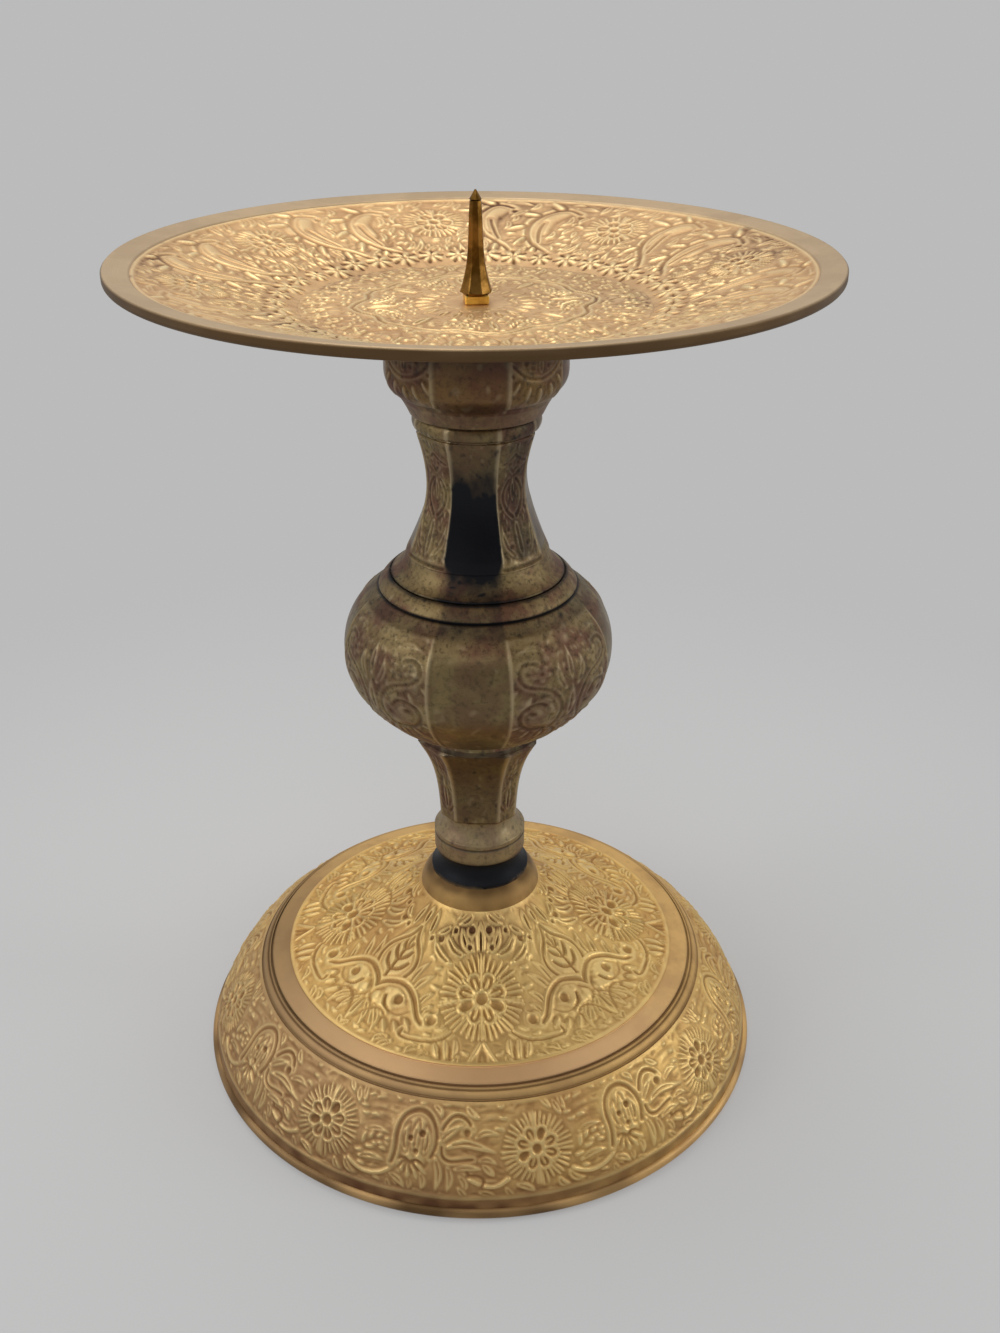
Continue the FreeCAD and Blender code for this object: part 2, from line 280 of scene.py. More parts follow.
def rosette(sheet, x, y, radius, petals, rays):
    # a round flower: a sunk button, spokes, a cup with a raised lip in each petal, and free rays
    dice = np.random.default_rng(2)
    middle = np.array([x, y])

    def spot(turn, share):
        return middle + radius * share * np.array([math.sin(turn), -math.cos(turn)])

    disc(sheet, x, y, radius * 1.02, -0.3, 0.15)
    for i in range(rays):
        turn = 2 * math.pi * (i + 0.5 + dice.uniform(-0.15, 0.15)) / rays
        long = 0.93 + 0.05 * abs(math.cos(petals * turn / 2)) + dice.uniform(-0.05, 0.05)
        tip = spot(turn + dice.uniform(-0.03, 0.03), long)
        wide = 2 * math.pi * radius * 0.78 / rays * 0.66
        stroke(sheet, [spot(turn, 0.6), spot(turn, 0.78), tip], wide, 0.3, (0.8, 0.5), 0.25, 0.4)
    for i in range(petals):
        turn = 2 * math.pi * (i + 0.5) / petals
        wide = 2 * math.pi / petals
        disc(sheet, *spot(turn, 0.4), radius * 0.15, -0.46, 0.4)
        lip = [spot(turn - wide * 0.42, 0.4), spot(turn - wide * 0.3, 0.54),
            spot(turn, 0.58 + dice.uniform(0, 0.03)), spot(turn + wide * 0.3, 0.54),
            spot(turn + wide * 0.42, 0.4)]
        stroke(sheet, lip, radius * 0.085, 0.34, (0.6, 0.6), 0.15, 0.2)
        if dice.uniform() < 0.65:
            rib = [spot(turn, 0.24), spot(turn, 0.34), spot(turn, 0.46)]
            stroke(sheet, rib, radius * 0.1, 0.16, (0.5, 0.8), 0.1, 0.4)
    for i in range(petals):
        turn = 2 * math.pi * i / petals
        spoke = [spot(turn, 0.16), spot(turn, 0.36), spot(turn, 0.97 if i % 2 == 0 else 0.62)]
        stroke(sheet, spoke, radius * 0.07, 0.4, (0.9, 0.6), 0.2, 0.3)
    disc(sheet, x, y, radius * 0.22, 0.3)
    disc(sheet, x, y, radius * 0.14, -0.38, 0.2)


def blossom(sheet, x, y, radius, petals):
    # a small open flower with a dark eye
    middle = np.array([x, y])
    for i in range(petals):
        turn = 2 * math.pi * (i + 0.5) / petals
        out = np.array([math.sin(turn), -math.cos(turn)]) * radius
        leaf(sheet, [middle + out * 0.3, middle + out * 0.7, middle + out], radius * 0.62, 0.3, 0.2)
    pit(sheet, x, y, radius * 0.24, 0.35)


def fillIn(sheet, tries, length, width, lean, seedNumber, height=0.2, raised=0.5):
    # comma strokes in what ground is left, laid along lean give or take a little
    # raised is the share that stands up
    dice = np.random.default_rng(seedNumber)
    tall, wide = sheet["level"].shape
    cell = sheet["cell"]
    for _ in range(tries):
        x, y = dice.uniform(0.5, wide * cell - 0.5), dice.uniform(0.8, tall * cell - 0.8)
        turn = math.radians((lean(x, y) if callable(lean) else lean) + dice.uniform(-28, 28))
        size = dice.uniform(0.6, 1.0) * length
        along = np.array([math.cos(turn), math.sin(turn)])
        out = np.array([-along[1], along[0]])
        middle = np.array([x, y])
        bow = dice.uniform(-0.25, 0.25) * size
        ends = middle - along * size / 2, middle + out * bow, middle + along * size / 2
        columns, rows = np.round(np.transpose(ends) / cell).astype(int)
        columns = columns % wide if sheet["wraps"] else np.clip(columns, 0, wide - 1)
        if rows.min() < 0 or rows.max() >= tall or sheet["used"][rows, columns].any():
            continue
        if width > 1.5:
            leaf(sheet, ends, width, height, 0.26)
        elif dice.uniform() < raised:
            stroke(sheet, ends, width, height, (0.5, 0.2), 0.35, 0.18)
        else:
            groove(sheet, ends, width * 0.7, height * 1.3, (0.6, 0.3))


def readSheet(sheet, x, y):
    # the carving's height at places on the sheet
    if "done" not in sheet:
        # no two cuts are as deep
        shape = sheet["level"].shape
        uneven = 1 + 0.45 * wander(shape, 22, 51) + 0.3 * wander(shape, 7, 52)
        level = sheet["level"] * np.clip(uneven, 0.35, 1.6)
        sheet["done"] = soften(level, sheet["worn"], sheet["wraps"])
    field = sheet["done"]
    high, wide = field.shape
    column = x / sheet["cell"]
    row = np.clip(y / sheet["cell"], 0, high - 1.001)
    left, top = np.floor(column).astype(int), np.floor(row).astype(int)
    across, down = column - left, row - top
    if sheet["wraps"]:
        right = (left + 1) % wide
        left = left % wide
    else:
        left = np.clip(left, 0, wide - 1)
        right = np.clip(left + 1, 0, wide - 1)
    upper = field[top, left] * (1 - across) + field[top, right] * across
    lower = field[top + 1, left] * (1 - across) + field[top + 1, right] * across
    return upper * (1 - down) + lower * down


# meshes

def addObject(name, data):
    item = bpy.data.objects.new(name, data)
    bpy.context.scene.collection.objects.link(item)
    return item


def makeSkin(name, node, path, columns, material, sides=None, lift=None, paint=None):
    # turns an outline round the upright axis, with flats, carving and painted masks where given
    path = np.asarray(path, float)
    rows = len(path)
    ahead = np.gradient(path[:, :2], axis=0)
    ahead /= np.maximum(np.hypot(*ahead.T), 1e-9)[:, None]
    travelled = np.concatenate([[0], np.cumsum(np.hypot(*np.diff(path[:, :2], axis=0).T))])
    angle = np.arange(columns) / columns * 360
    theta, along = np.meshgrid(angle, travelled)
    radius, height = (np.repeat(path[:, i, None], columns, 1) for i in (0, 1))
    spread = 1 if sides is None else 1 + path[:, 2:3] * (sides(angle)[None, :] - 1)
    rise = np.zeros_like(theta) if lift is None else lift(theta, along, radius, height)
    reach = radius * spread - ahead[:, 1:2] * rise
    level = height + ahead[:, 0:1] * rise
    turn = np.radians(theta)
    places = np.stack([reach * np.sin(turn), -reach * np.cos(turn), level], -1) * milli
    i, j = np.meshgrid(np.arange(rows - 1), np.arange(columns), indexing="ij")
    right = (j + 1) % columns
    here, below = i * columns, (i + 1) * columns
    corners = np.stack([here + j, below + j, below + right, here + right], -1)
    corners = corners.reshape(-1, 4).astype(np.int32)
    mesh = bpy.data.meshes.new(name)
    mesh.vertices.add(rows * columns)
    mesh.vertices.foreach_set("co", places.astype(np.float32).ravel())
    mesh.loops.add(corners.size)
    mesh.loops.foreach_set("vertex_index", corners.ravel())
    mesh.polygons.add(len(corners))
    mesh.polygons.foreach_set("loop_start", np.arange(0, corners.size, 4, dtype=np.int32))
    mesh.update(calc_edges=True)
    mesh.shade_smooth()
    mesh.materials.append(material)
    piece = addObject(name, mesh)
    # masks for the finishes: what lies low; what stands proud, with painted highlights added to it; what
    # is stained, with painted shade added to it; and what has the second colour
    around = soften(rise, 5, True)
    masks = {"hollow": unit((around - rise) / 0.28), "crest": unit((rise - around) / 0.22),
        "stain": np.zeros_like(rise), "tint": np.zeros_like(rise)}
    if paint is not None:
        masks.update(paint(theta, along, radius, height, masks))
    for label, values in masks.items():
        layer = mesh.attributes.new(label, "FLOAT", "POINT")
        layer.data.foreach_set("value", values.astype(np.float32).ravel())
    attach(piece, "root")
    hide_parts(node)
    print("  made", name, "with", len(corners), "faces")


# finishes

def linear(code):
    shares = [int(code[i:i + 2], 16) / 255 for i in (1, 3, 5)]
    return tuple(s / 12.92 if s <= 0.04045 else ((s + 0.055) / 1.055) ** 2.4
        for s in shares) + (1.0,)


def newMaterial(name):
    material = bpy.data.materials.new(name)
    material.use_nodes = True
    material.node_tree.nodes.clear()
    return material


def addNode(material, kind, settings=None, inputs=None, links=None):
    tree = material.node_tree
    node = tree.nodes.new("ShaderNode" + kind)
    for label, value in (settings or {}).items():
        setattr(node, label, value)
    for label, value in (inputs or {}).items():
        node.inputs[label].default_value = value
    for label, (source, socket) in (links or {}).items():
        tree.links.new(source.outputs[socket], node.inputs[label])
    return node


def perMetre(size):
    # noise scale for a pattern whose patches are size millimetres across
    return 1 / (size * milli)


def metalFinish(name, look):
    # metal is fully metallic, less where a dull film scatters light
    # tarnish is darker and rougher, in patches, in freckles and where the masks lie; the masks also lay
    # painted highlights and painted shade
    material = newMaterial(name)
    blend = {"data_type": "RGBA"}
    where = addNode(material, "TexCoord")
    noises, shares = [], []
    for label, detail, rough in (("patch", 5.0, 0.6), ("freckle", 3.0, 0.7), ("grain", 2.0, 0.6)):
        values = {"Scale": perMetre(look[label + "Size"]), "Detail": detail, "Roughness": rough}
        noises.append(addNode(material, "TexNoise", inputs=values,
            links={"Vector": (where, "Object")}))
    patches, freckles, grain = noises
    for noise, label in ((patches, "patch"), (freckles, "freckle")):
        low, high = look[label + "Range"]
        values = {"From Min": low, "From Max": high, "To Max": look[label + "Strength"]}
        shares.append(addNode(material, "MapRange", {"interpolation_type": "SMOOTHSTEP"}, values,
            {"Value": (noise, "Fac")}))
    colours = {6: linear(look["clean"]), 7: linear(look["dull"])}
    colour = addNode(material, "Mix", blend, colours, {0: (shares[0], 0)})
    colour = addNode(material, "Mix", blend, {7: linear(look["freckle"])},
        {0: (shares[1], 0), 6: (colour, 2)})
    low, high = look["roughness"]
    values = {"From Min": 0.3, "From Max": 0.7, "To Min": low, "To Max": high}
    rough = addNode(material, "MapRange", inputs=values, links={"Value": (patches, "Fac")})
    for label in ("tint", "crest", "hollow", "stain"):
        mask = addNode(material, "Attribute", {"attribute_name": label})
        share = addNode(material, "Math", {"operation": "MULTIPLY", "use_clamp": True},
            {1: look[label + "Strength"]}, {0: (mask, "Fac")})
        colour = addNode(material, "Mix", blend, {7: linear(look[label + "Colour"])},
            {0: (share, 0), 6: (colour, 2)})
        if label + "Roughness" in look:
            rough = addNode(material, "Math", {"operation": "MULTIPLY_ADD", "use_clamp": True},
                {1: look[label + "Roughness"]}, {0: (mask, "Fac"), 2: (rough, 0)})
    depth = {"Strength": 1.0, "Distance": look["grainDepth"] * milli}
    bump = addNode(material, "Bump", inputs=depth, links={"Height": (grain, "Fac")})
    if "latheSize" in look:
        # turning lines run round the axis, so they follow height and radius
        split = addNode(material, "SeparateXYZ", links={0: (where, "Object")})
        flatWay = addNode(material, "CombineXYZ", links={0: (split, 0), 1: (split, 1)})
        radius = addNode(material, "VectorMath", {"operation": "LENGTH"}, links={0: (flatWay, 0)})
        mixed = addNode(material, "Math", {"operation": "ADD"},
            links={0: (radius, "Value"), 1: (split, 2)})
        lines = addNode(material, "TexNoise", {"noise_dimensions": "1D"},
            {"Scale": perMetre(look["latheSize"]), "Detail": 2.0}, {"W": (mixed, 0)})
        depth = {"Strength": 1.0, "Distance": look["latheDepth"] * milli}
        bump = addNode(material, "Bump", inputs=depth,
            links={"Height": (lines, "Fac"), "Normal": (bump, 0)})
    shader = addNode(material, "BsdfPrincipled", inputs={"Metallic": look["metallic"]},
        links={"Base Color": (colour, 2), "Roughness": (rough, 0), "Normal": (bump, 0)})
    addNode(material, "OutputMaterial", links={"Surface": (shader, 0)})
    return material


# Foot and dish: brass cast in sand, chased and worn to a satin gold, with brown left in the hollows
castLook = {
    "clean": "#DEB468", "dull": "#C99B59",
    "patchSize": 14, "patchRange": (0.42, 0.62), "patchStrength": 1.0,
    "freckle": "#9C7038", "freckleSize": 2.2, "freckleRange": (0.58, 0.8), "freckleStrength": 0.45,
    "tintColour": "#B4936C", "tintStrength": 0.8, "tintRoughness": 0.04,
    "crestColour": "#F8DF9C", "crestStrength": 0.45, "crestRoughness": -0.12,
    "hollowColour": "#8A5F30", "hollowStrength": 0.6, "hollowRoughness": 0.12,
    "stainColour": "#5A3522", "stainStrength": 0.9,
    "roughness": (0.45, 0.57), "grainSize": 0.75, "grainDepth": 0.06, "metallic": 0.78,
}
# The dish has the same casting, rubbed a little paler
dishLook = dict(castLook, clean="#D6AE7A", dull="#C29A6C", crestColour="#FFE9AC",
    crestStrength=0.62, stainColour="#5E3C24", stainStrength=1.0, roughness=(0.42, 0.54),
    metallic=0.88)
# Bands and rims turned on the lathe after casting: the same brass, pinker and closer grained
turnedLook = dict(castLook, clean="#DDB36E", dull="#C69E62", freckle="#8C6238",
    freckleStrength=0.35, crestColour="#EFC492", crestStrength=0.85, stainColour="#533A1C",
    roughness=(0.48, 0.58), grainSize=0.5, grainDepth=0.015, latheSize=0.35, latheDepth=0.015,
    metallic=0.7)
# The dish's border: the same, greyer from handling
borderLook = dict(turnedLook, clean="#CBAF86", dull="#B59B78", tintColour="#AD9678",
    roughness=(0.44, 0.54), metallic=0.85)
# Underside of the foot and dish: left as cast, dark and dry
underLook = dict(castLook, clean="#DFBC84", dull="#C6A26A", freckle="#8A6A3E",
    crestColour="#B89A6A", roughness=(0.45, 0.6), grainSize=0.9, grainDepth=0.09)
# Stem: brass never cleaned, olive brown with red and green patches
agedLook = {
    "clean": "#8A7752", "dull": "#715240",
    "patchSize": 9, "patchRange": (0.4, 0.62), "patchStrength": 1.0,
    "freckle": "#3A3020", "freckleSize": 1.1, "freckleRange": (0.46, 0.72), "freckleStrength": 0.7,
    "tintColour": "#6E6040", "tintStrength": 0.45, "tintRoughness": -0.17,
    "crestColour": "#C4B28E", "crestStrength": 0.55, "crestRoughness": -0.08,
    "hollowColour": "#3A2C1C", "hollowStrength": 0.6, "hollowRoughness": 0.12,
    "stainColour": "#1B1C20", "stainStrength": 1.0,
    "roughness": (0.49, 0.6), "grainSize": 0.45, "grainDepth": 0.03, "metallic": 0.82,
}
# The cup is the same casting with more red in its tarnish
ruddyLook = dict(agedLook, clean="#80653F", dull="#6A4838", tintColour="#68492F", crestStrength=0.4)
# Collar: machined brass, more yellow than the rest
collarLook = dict(castLook, clean="#F6D06C", dull="#E0B458", freckle="#8E6428",
    crestColour="#F8E0A0", grainDepth=0.01, roughness=(0.3, 0.42), patchSize=3, metallic=0.9)
# Spike: filed brass browned by heat and wax
spikeLook = dict(castLook, clean="#8A6530", dull="#5E4218", freckle="#36240E",
    crestColour="#B8904E", grainDepth=0.012, roughness=(0.28, 0.42), patchSize=4, metallic=1.0)
# Rod, nut and washer: zinc plated steel
steelLook = dict(castLook, clean="#B4B2AA", dull="#94928A", freckle="#6A665C",
    crestColour="#D0CEC6", hollowColour="#5A564E", grainDepth=0.01, roughness=(0.3, 0.45),
    patchSize=5, metallic=1.0)

castGold = metalFinish("chased_cast_gold_brass", castLook)
dishGold = metalFinish("chased_cast_pale_brass", dishLook)
turnedGold = metalFinish("turned_gold_brass", turnedLook)
turnedGrey = metalFinish("turned_handled_brass", borderLook)
underGold = metalFinish("as_cast_brass_underside", underLook)
castAged = metalFinish("chased_tarnished_brass", agedLook)
castRuddy = metalFinish("chased_red_brown_brass", ruddyLook)
machinedYellow = metalFinish("machined_yellow_brass", collarLook)
filedSpike = metalFinish("filed_waxed_brass", spikeLook)
platedSteel = metalFinish("zinc_plated_steel", steelLook)
print("stage 2: finishes ready")


# foot

foot = {
    "columns": 940, "skirtColumns": 1200, "plainColumns": 360,
    "relief": 1.12, "skirtRelief": 1.2,      # height of the carving against the drawn height
    "drift": 0.35,            # how far repeats wander from each other
    "ruddyTurn": -48,         # where the metal is pinker, turned from the front
    "medallionTurn": 4.3,     # turn of the flowers from the front
    "skirtTurn": 15.2,
    "rosetteRadius": 10.2, "rosettePlace": 33.2,
    "skirtRosetteRadius": 8.4, "skirtRosettePlace": 11.2,
    "skirtMiddle": 64.5,      # radius that the frieze is drawn for
    "skirtRepeat": 51,        # length that the wandering of one repeat dies out over
}


def polar(*places):
    # points from pairs of a turn from the sheet's upright and a distance from the axis
    turns = [(math.radians(turn), far) for turn, far in places]
    return [(far * math.sin(turn), far * math.cos(turn)) for turn, far in turns]


def medallionSheet():
    # one eighth of the medallion, seen from above with the rim at the bottom; the rest mirrors it
    s = newSheet(40, 51)
    for blade, width in (
            ([(0, 23.6), (0, 20.6), (0, 16.8)], 2.8),
            ([(1.6, 23.4), (3.9, 20.8), (4.4, 17.0)], 2.3),
            ([(3.8, 23.8), (7.2, 21.2), (8.2, 17.2)], 2.3),
            ([(7.6, 24.8), (10.4, 21.8), (11.4, 17.6)], 2.2),
            (polar((45, 19.6), (45, 17.8), (45, 16.2)), 2.0),
            (polar((37, 21.0), (37.6, 18.6), (39, 16.2)), 2.0),
            ([(17.2, 29.8), (14.6, 27.9), (11.2, 26.8)], 2.1),
            ([(17.9, 27.8), (15.2, 25.0), (12.4, 23.6)], 2.0),
            ([(18.8, 25.6), (16.8, 22.8), (14.4, 20.6)], 2.0),
            ([(15.2, 33.0), (13.4, 31.4), (11.4, 30.9)], 1.7),
            ([(14.8, 35.6), (13.2, 34.2), (11.6, 34.0)], 1.4)):
        leaf(s, blade, width, 0.32, 0.34)
    for x, y, wide in (
            (2.1, 18.4, 0.9), (6.2, 18.0, 0.6), (2.7, 21.9, 0.6), (9.8, 19.0, 0.8),
            (12.2, 18.2, 0.5)):
        pit(s, x, y, wide, 0.5)
    # the leaf over the diagonal: a broad blade with branching veins
    stroke(s, polar((45, 34.6), (44.8, 30), (45, 21.4)), 10.5, 0.3, (0.35, 0.1), 0.8, 0.3)
    vine(s, polar((45, 35.4), (39.6, 33.6), (34.8, 30.0), (36.2, 26.0), (41.6, 23.4), (45, 20.8)),
        0.8, 0.36)
    groove(s, polar((45, 33.4), (45, 28), (45, 23)), 0.8, 0.34)
    for vein in (
            polar((45, 31.6), (41.4, 30.8), (38.4, 28.8)),
            polar((45, 29.0), (41.4, 27.6), (39.6, 26.2)),
            polar((45, 26.4), (42.8, 25.2), (42.2, 24.4))):
        groove(s, vein, 0.8, 0.32)
    # the scroll beside the rosette, with its seed and the acanthus under it
    stroke(s, [(19.4, 29.0), (23.2, 30.6), (25.4, 33.8)], 6.5, 0.34, (0.7, 0.4), 0.6, 0.25)
    disc(s, 25.6, 28.9, 1.5, 0.5)
    disc(s, 22.4, 28.2, 1.2, 0.42)
    vine(s, [(29.4, 31.6), (29.2, 28.8), (27.6, 26.4), (24.6, 25.4), (21.6, 25.9), (18.8, 27.4),
        (16.9, 30.2), (16.1, 33.5), (15.6, 36.2), (14.2, 38.4)], 1.1, 0.4, (0.5, 0.8))
    pit(s, 12.3, 37.5, 1.35, 0.5)
    pit(s, 20.2, 31.2, 1.2, 0.42)
    groove(s, [(17.6, 34.4), (19.8, 34.8), (22.4, 33.4), (23.6, 31.2), (23.2, 29.2)], 0.8, 0.36)
    groove(s, [(29.4, 31.6), (28.6, 34.6), (26.6, 37.2), (24.2, 39.2)], 0.8, 0.32)
    for x, y, length, width, turn in (
            (26.4, 31.8, 4.0, 1.1, -14), (23.8, 35.0, 3.8, 1.15, 4), (21.2, 36.2, 3.4, 1.1, 12),
            (18.7, 36.0, 3.2, 1.0, 18), (27.8, 29.2, 3.2, 0.9, -34)):
        finger(s, x, y, length, width, turn)
    vine(s, [(19.0, 38.6), (19.7, 39.6), (18.8, 40.7), (16.2, 41.8), (13.6, 42.5), (10.4, 42.5),
        (7.8, 41.4), (5.6, 39.6)], 0.85, 0.42, (0.8, 0.5))
    # three small blooms between the rosette and the rim
    for petal in (
            [(6.4, 43.0), (6.5, 45.2), (7.4, 47.6)], [(8.8, 42.9), (8.8, 45.2), (8.8, 47.8)],
            [(11.2, 43.4), (11.1, 45.2), (10.2, 47.4)]):
        leaf(s, petal, 1.7, 0.34, 0)
    for x in (7.6, 10.0):
        groove(s, [(x, 44.4), (x, 46.0), (x, 47.8)], 0.8, 0.42, (0.3, 1))
    groove(s, [(0, 45.4), (0.5, 46.8), (0.7, 48.2)], 1.3, 0.45, (0.2, 1))
    stroke(s, [(0.1, 43.4), (1.5, 45.8), (3.2, 48.4)], 1.0, 0.3)
    # leaves by the rim over the diagonal
    leaf(s, polar((45, 39.4), (45, 43.4), (45, 47.4)), 2.4, 0.34)
    leaf(s, polar((43.8, 40.4), (41.0, 43.4), (40.2, 46.8)), 1.9, 0.32)
    leaf(s, polar((40, 40.8), (36.2, 43.4), (35.4, 46.8)), 1.8, 0.3)
    groove(s, polar((43.4, 45.6), (40.2, 41.4), (36.4, 40.8), (33.6, 42.2)), 0.8, 0.34)
    leaf(s, [(14.4, 43.8), (17.0, 43.8), (19.0, 45.4)], 1.6, 0.28)
    leaf(s, [(12.6, 45.6), (14.8, 46.2), (16.8, 47.2)], 1.2, 0.24)
    rosette(s, 0, foot["rosettePlace"], foot["rosetteRadius"], 8, 40)
    fillIn(s, 260, 5.2, 1.9, lambda x, y: 60 - math.degrees(math.atan2(x, y)), 31, 0.36, 0.9)
    fillIn(s, 900, 2.6, 1.05, lambda x, y: -math.degrees(math.atan2(x, y)), 5, 0.24)
    return s


def skirtSheet():
    # one eighth of the skirt's frieze: across is round the foot, down is towards the rim
    s = newSheet(eighthTurn * foot["skirtMiddle"], 24.4, 2, wraps=True)
    for line in (
            [(9.6, 3.2), (14.6, 2.4), (19.4, 2.0)], [(9.4, 5.4), (12.8, 4.5), (17.0, 4.6)],
            [(36.4, 2.8), (41.0, 2.3), (46.2, 3.0)], [(9.8, 7.7), (12.8, 6.8), (16.2, 7.2)],
            [(26.8, 1.7), (30.8, 1.5), (35.0, 2.0)], [(38.2, 4.8), (41.2, 4.3), (44.4, 4.8)]):
        groove(s, line, 0.8, 0.3, (0.3, 0.3))
    # the bud under its arch
    stroke(s, [(22.8, 14.0), (22.6, 9.6), (22.9, 5.0)], 7.4, 0.3, (0.5, 0.5), 0.6, 0.28)
    for petal, width in (
            ([(20.6, 12.0), (19.8, 9.0), (20.9, 5.8)], 1.9),
            ([(24.8, 12.0), (25.5, 9.2), (24.9, 6.0)], 1.9),
            ([(22.6, 12.4), (22.5, 8.6), (22.9, 4.8)], 2.2)):
        leaf(s, petal, width, 0.36, 0.34)
    pit(s, 24.0, 7.7, 0.75, 0.5)
    pit(s, 21.4, 9.0, 0.65, 0.45)
    pit(s, 22.9, 11.8, 0.6, 0.4)
    for turn in (-58, -30, -4, 22, 50):
        out = math.sin(math.radians(turn)), math.cos(math.radians(turn))
        finger(s, 21.9 + out[0] * 1.2, 13.4 + out[1] * 1.2, 3.6, 0.85, -turn)
    vine(s, [(-9.8, 18.2), (-12.6, 18.1), (-15.4, 16.6), (-16.4, 14.2)], 0.9, 0.34)
    stroke(s, [(7.6, 17.2), (10.4, 18.6), (13.6, 18.8), (16.4, 17.7), (18.0, 16.3)], 1.3, 0.36,
        (0.8, 0.6))
    stroke(s, [(-7.0, 17.2), (-9.8, 18.7), (-12.8, 18.4), (-15.6, 17.0)], 1.3, 0.36, (0.8, 0.6))
    vine(s, [(17.6, 15.4), (18.2, 12.0), (18.1, 8.0), (19.0, 4.9), (21.0, 3.1), (23.4, 2.7),
        (25.7, 3.9), (27.3, 6.8), (27.5, 9.8), (26.5, 12.8)], 1.0, 0.34, (0.7, 0.6))
    for blade, width in (
            ([(19.6, 17.0), (18.8, 18.6), (19.4, 20.6)], 1.5),
            ([(24.4, 16.6), (25.2, 18.6), (24.6, 20.6)], 1.5),
            ([(27.6, 12.8), (28.5, 16.4), (27.8, 20.4)], 1.9),
            ([(30.4, 14.4), (31.0, 17.4), (30.3, 20.5)], 1.8),
            ([(33.0, 16.6), (34.2, 18.2), (33.6, 20.5)], 1.6),
            ([(22.0, 18.4), (22.2, 19.6), (22.0, 20.8)], 1.4)):
        leaf(s, blade, width, 0.3, 0.3)
    leaf(s, [(28.2, 9.2), (30.8, 6.8), (33.9, 4.9)], 2.0, 0.34)
    vine(s, [(28.8, 6.4), (30.2, 4.3), (32.4, 3.2), (34.6, 4.1), (36.0, 6.2)], 0.85, 0.4)
    pit(s, 34.6, 6.8, 0.9, 0.45)
    leaf(s, [(30.2, 10.1), (33.6, 9.0), (37.0, 9.6), (41.4, 11.2)], 2.3, 0.36)
    leaf(s, [(36.6, 7.9), (39.0, 6.7), (42.4, 7.3)], 1.7, 0.3)
    vine(s, [(28.8, 10.2), (29.3, 12.4), (30.6, 13.2), (33.6, 12.9), (36.0, 12.6)], 0.8, 0.4)
    leaf(s, [(32.0, 15.0), (34.6, 14.4), (38.2, 14.9)], 1.8, 0.32)
    groove(s, [(34.6, 16.6), (37.0, 16.4), (38.4, 17.4), (37.8, 18.8)], 0.8, 0.36)
    leaf(s, [(37.4, 12.9), (39.4, 12.6), (41.4, 13.8)], 1.5, 0.3)
    frond(s, [(10.2, 13.2), (12.8, 11.2), (16.2, 11.0)], 4, 2.6, 1.1, 0.3, 60)
    leaf(s, [(9.8, 16.0), (13.0, 15.0), (16.2, 15.4)], 1.7, 0.3)
    leaf(s, [(10.2, 9.6), (12.8, 8.8), (16.4, 9.2)], 1.4, 0.28)
    rosette(s, 0, foot["skirtRosettePlace"], foot["skirtRosetteRadius"], 8, 38)
    fillIn(s, 420, 5.0, 1.8, 50, 32, 0.36, 0.9)
    fillIn(s, 1500, 2.4, 1.0, 0, 6, 0.24)
    return s


def eighth(theta):
    # how far each angle is from the nearest of four middles, up to 45 degrees
    return np.abs((theta + 45) % 90 - 45)


medallion = medallionSheet()
skirt = skirtSheet()


def drifted(shape, seedNumber, amount):
    # small wanderings, so that no two repeats of an ornament are the same
    return [amount * (wander(shape, 16, seed) + 0.6 * wander(shape, 5, seed + 2))
        for seed in (seedNumber, seedNumber + 1)]


def readMirrored(sheet, theta, radius, turn, seedNumber, drift):
    # a sheet of one eighth seen from above, mirrored round the axis
    across, down = drifted(radius.shape, seedNumber, drift)
    fold = np.radians(eighth(theta - turn))
    away = np.maximum(radius * np.sin(fold) + across * unit(fold * 4), 0)
    return readSheet(sheet, away, radius * np.cos(fold) + down)


def readRepeated(sheet, turned, down, middleRadius, repeat, seedNumber, drift):
    # a sheet of one eighth of a slope, repeated round the axis
    sideways, lower = drifted(turned.shape, seedNumber, drift)
    across = np.radians(turned % 45) * middleRadius
    return readSheet(sheet, across + sideways * np.sin(across / repeat * math.pi), down + lower)


def liftMedallion(theta, along, radius, height):
    carving = readMirrored(medallion, theta, radius, foot["medallionTurn"], 30, foot["drift"])
    uneven = wander(radius.shape, 5, 3) * 0.07
    inside = between(radius, 15.1, 16.2, 48.3, 48.9)
    return (carving * foot["relief"] + uneven) * inside + 0.14 * bell(radius, 49.25, 0.3)


def onSide(theta, middle, spread, strength=1):
    # strongest at one turn from the front and gone past its spread
    return strength * bell(wrapped(theta - middle), 0, spread)


def ruddy(theta, seedNumber):
    # how pink the metal is: most at the front left
    return unit(onSide(theta, foot["ruddyTurn"], 75) + 0.25 * wander(theta.shape, 14, seedNumber))


def paintMedallion(theta, along, radius, height, masks):
    # darker in the leaves beside the boss, most of all at the front, and a painted highlight towards the
    # front right
    spot = bell(radius, 19.5, 3.4) * (0.2 + onSide(theta, -2, 24))
    rough = patchy(radius, 3, 5)
    return {"stain": unit(spot * (0.3 + 1.1 * masks["hollow"]) * (0.5 + rough)),
        "tint": 0.2 * ruddy(theta, 6), "crest": unit(masks["crest"] + onSide(theta, 22, 60, 0.75))}


def liftSkirt(theta, along, radius, height):
    carving = readRepeated(skirt, theta - foot["skirtTurn"], along, foot["skirtMiddle"],
        foot["skirtRepeat"], 40, foot["drift"])
    uneven = wander(radius.shape, 5, 4) * 0.08
    lip = 0.28 * bell(along - 0.35 * wander(radius.shape, 12, 44), 21.6, 0.42)
    return (carving * foot["skirtRelief"] + uneven) * between(along, 0.5, 1.3, 20.4, 21.1) + lip


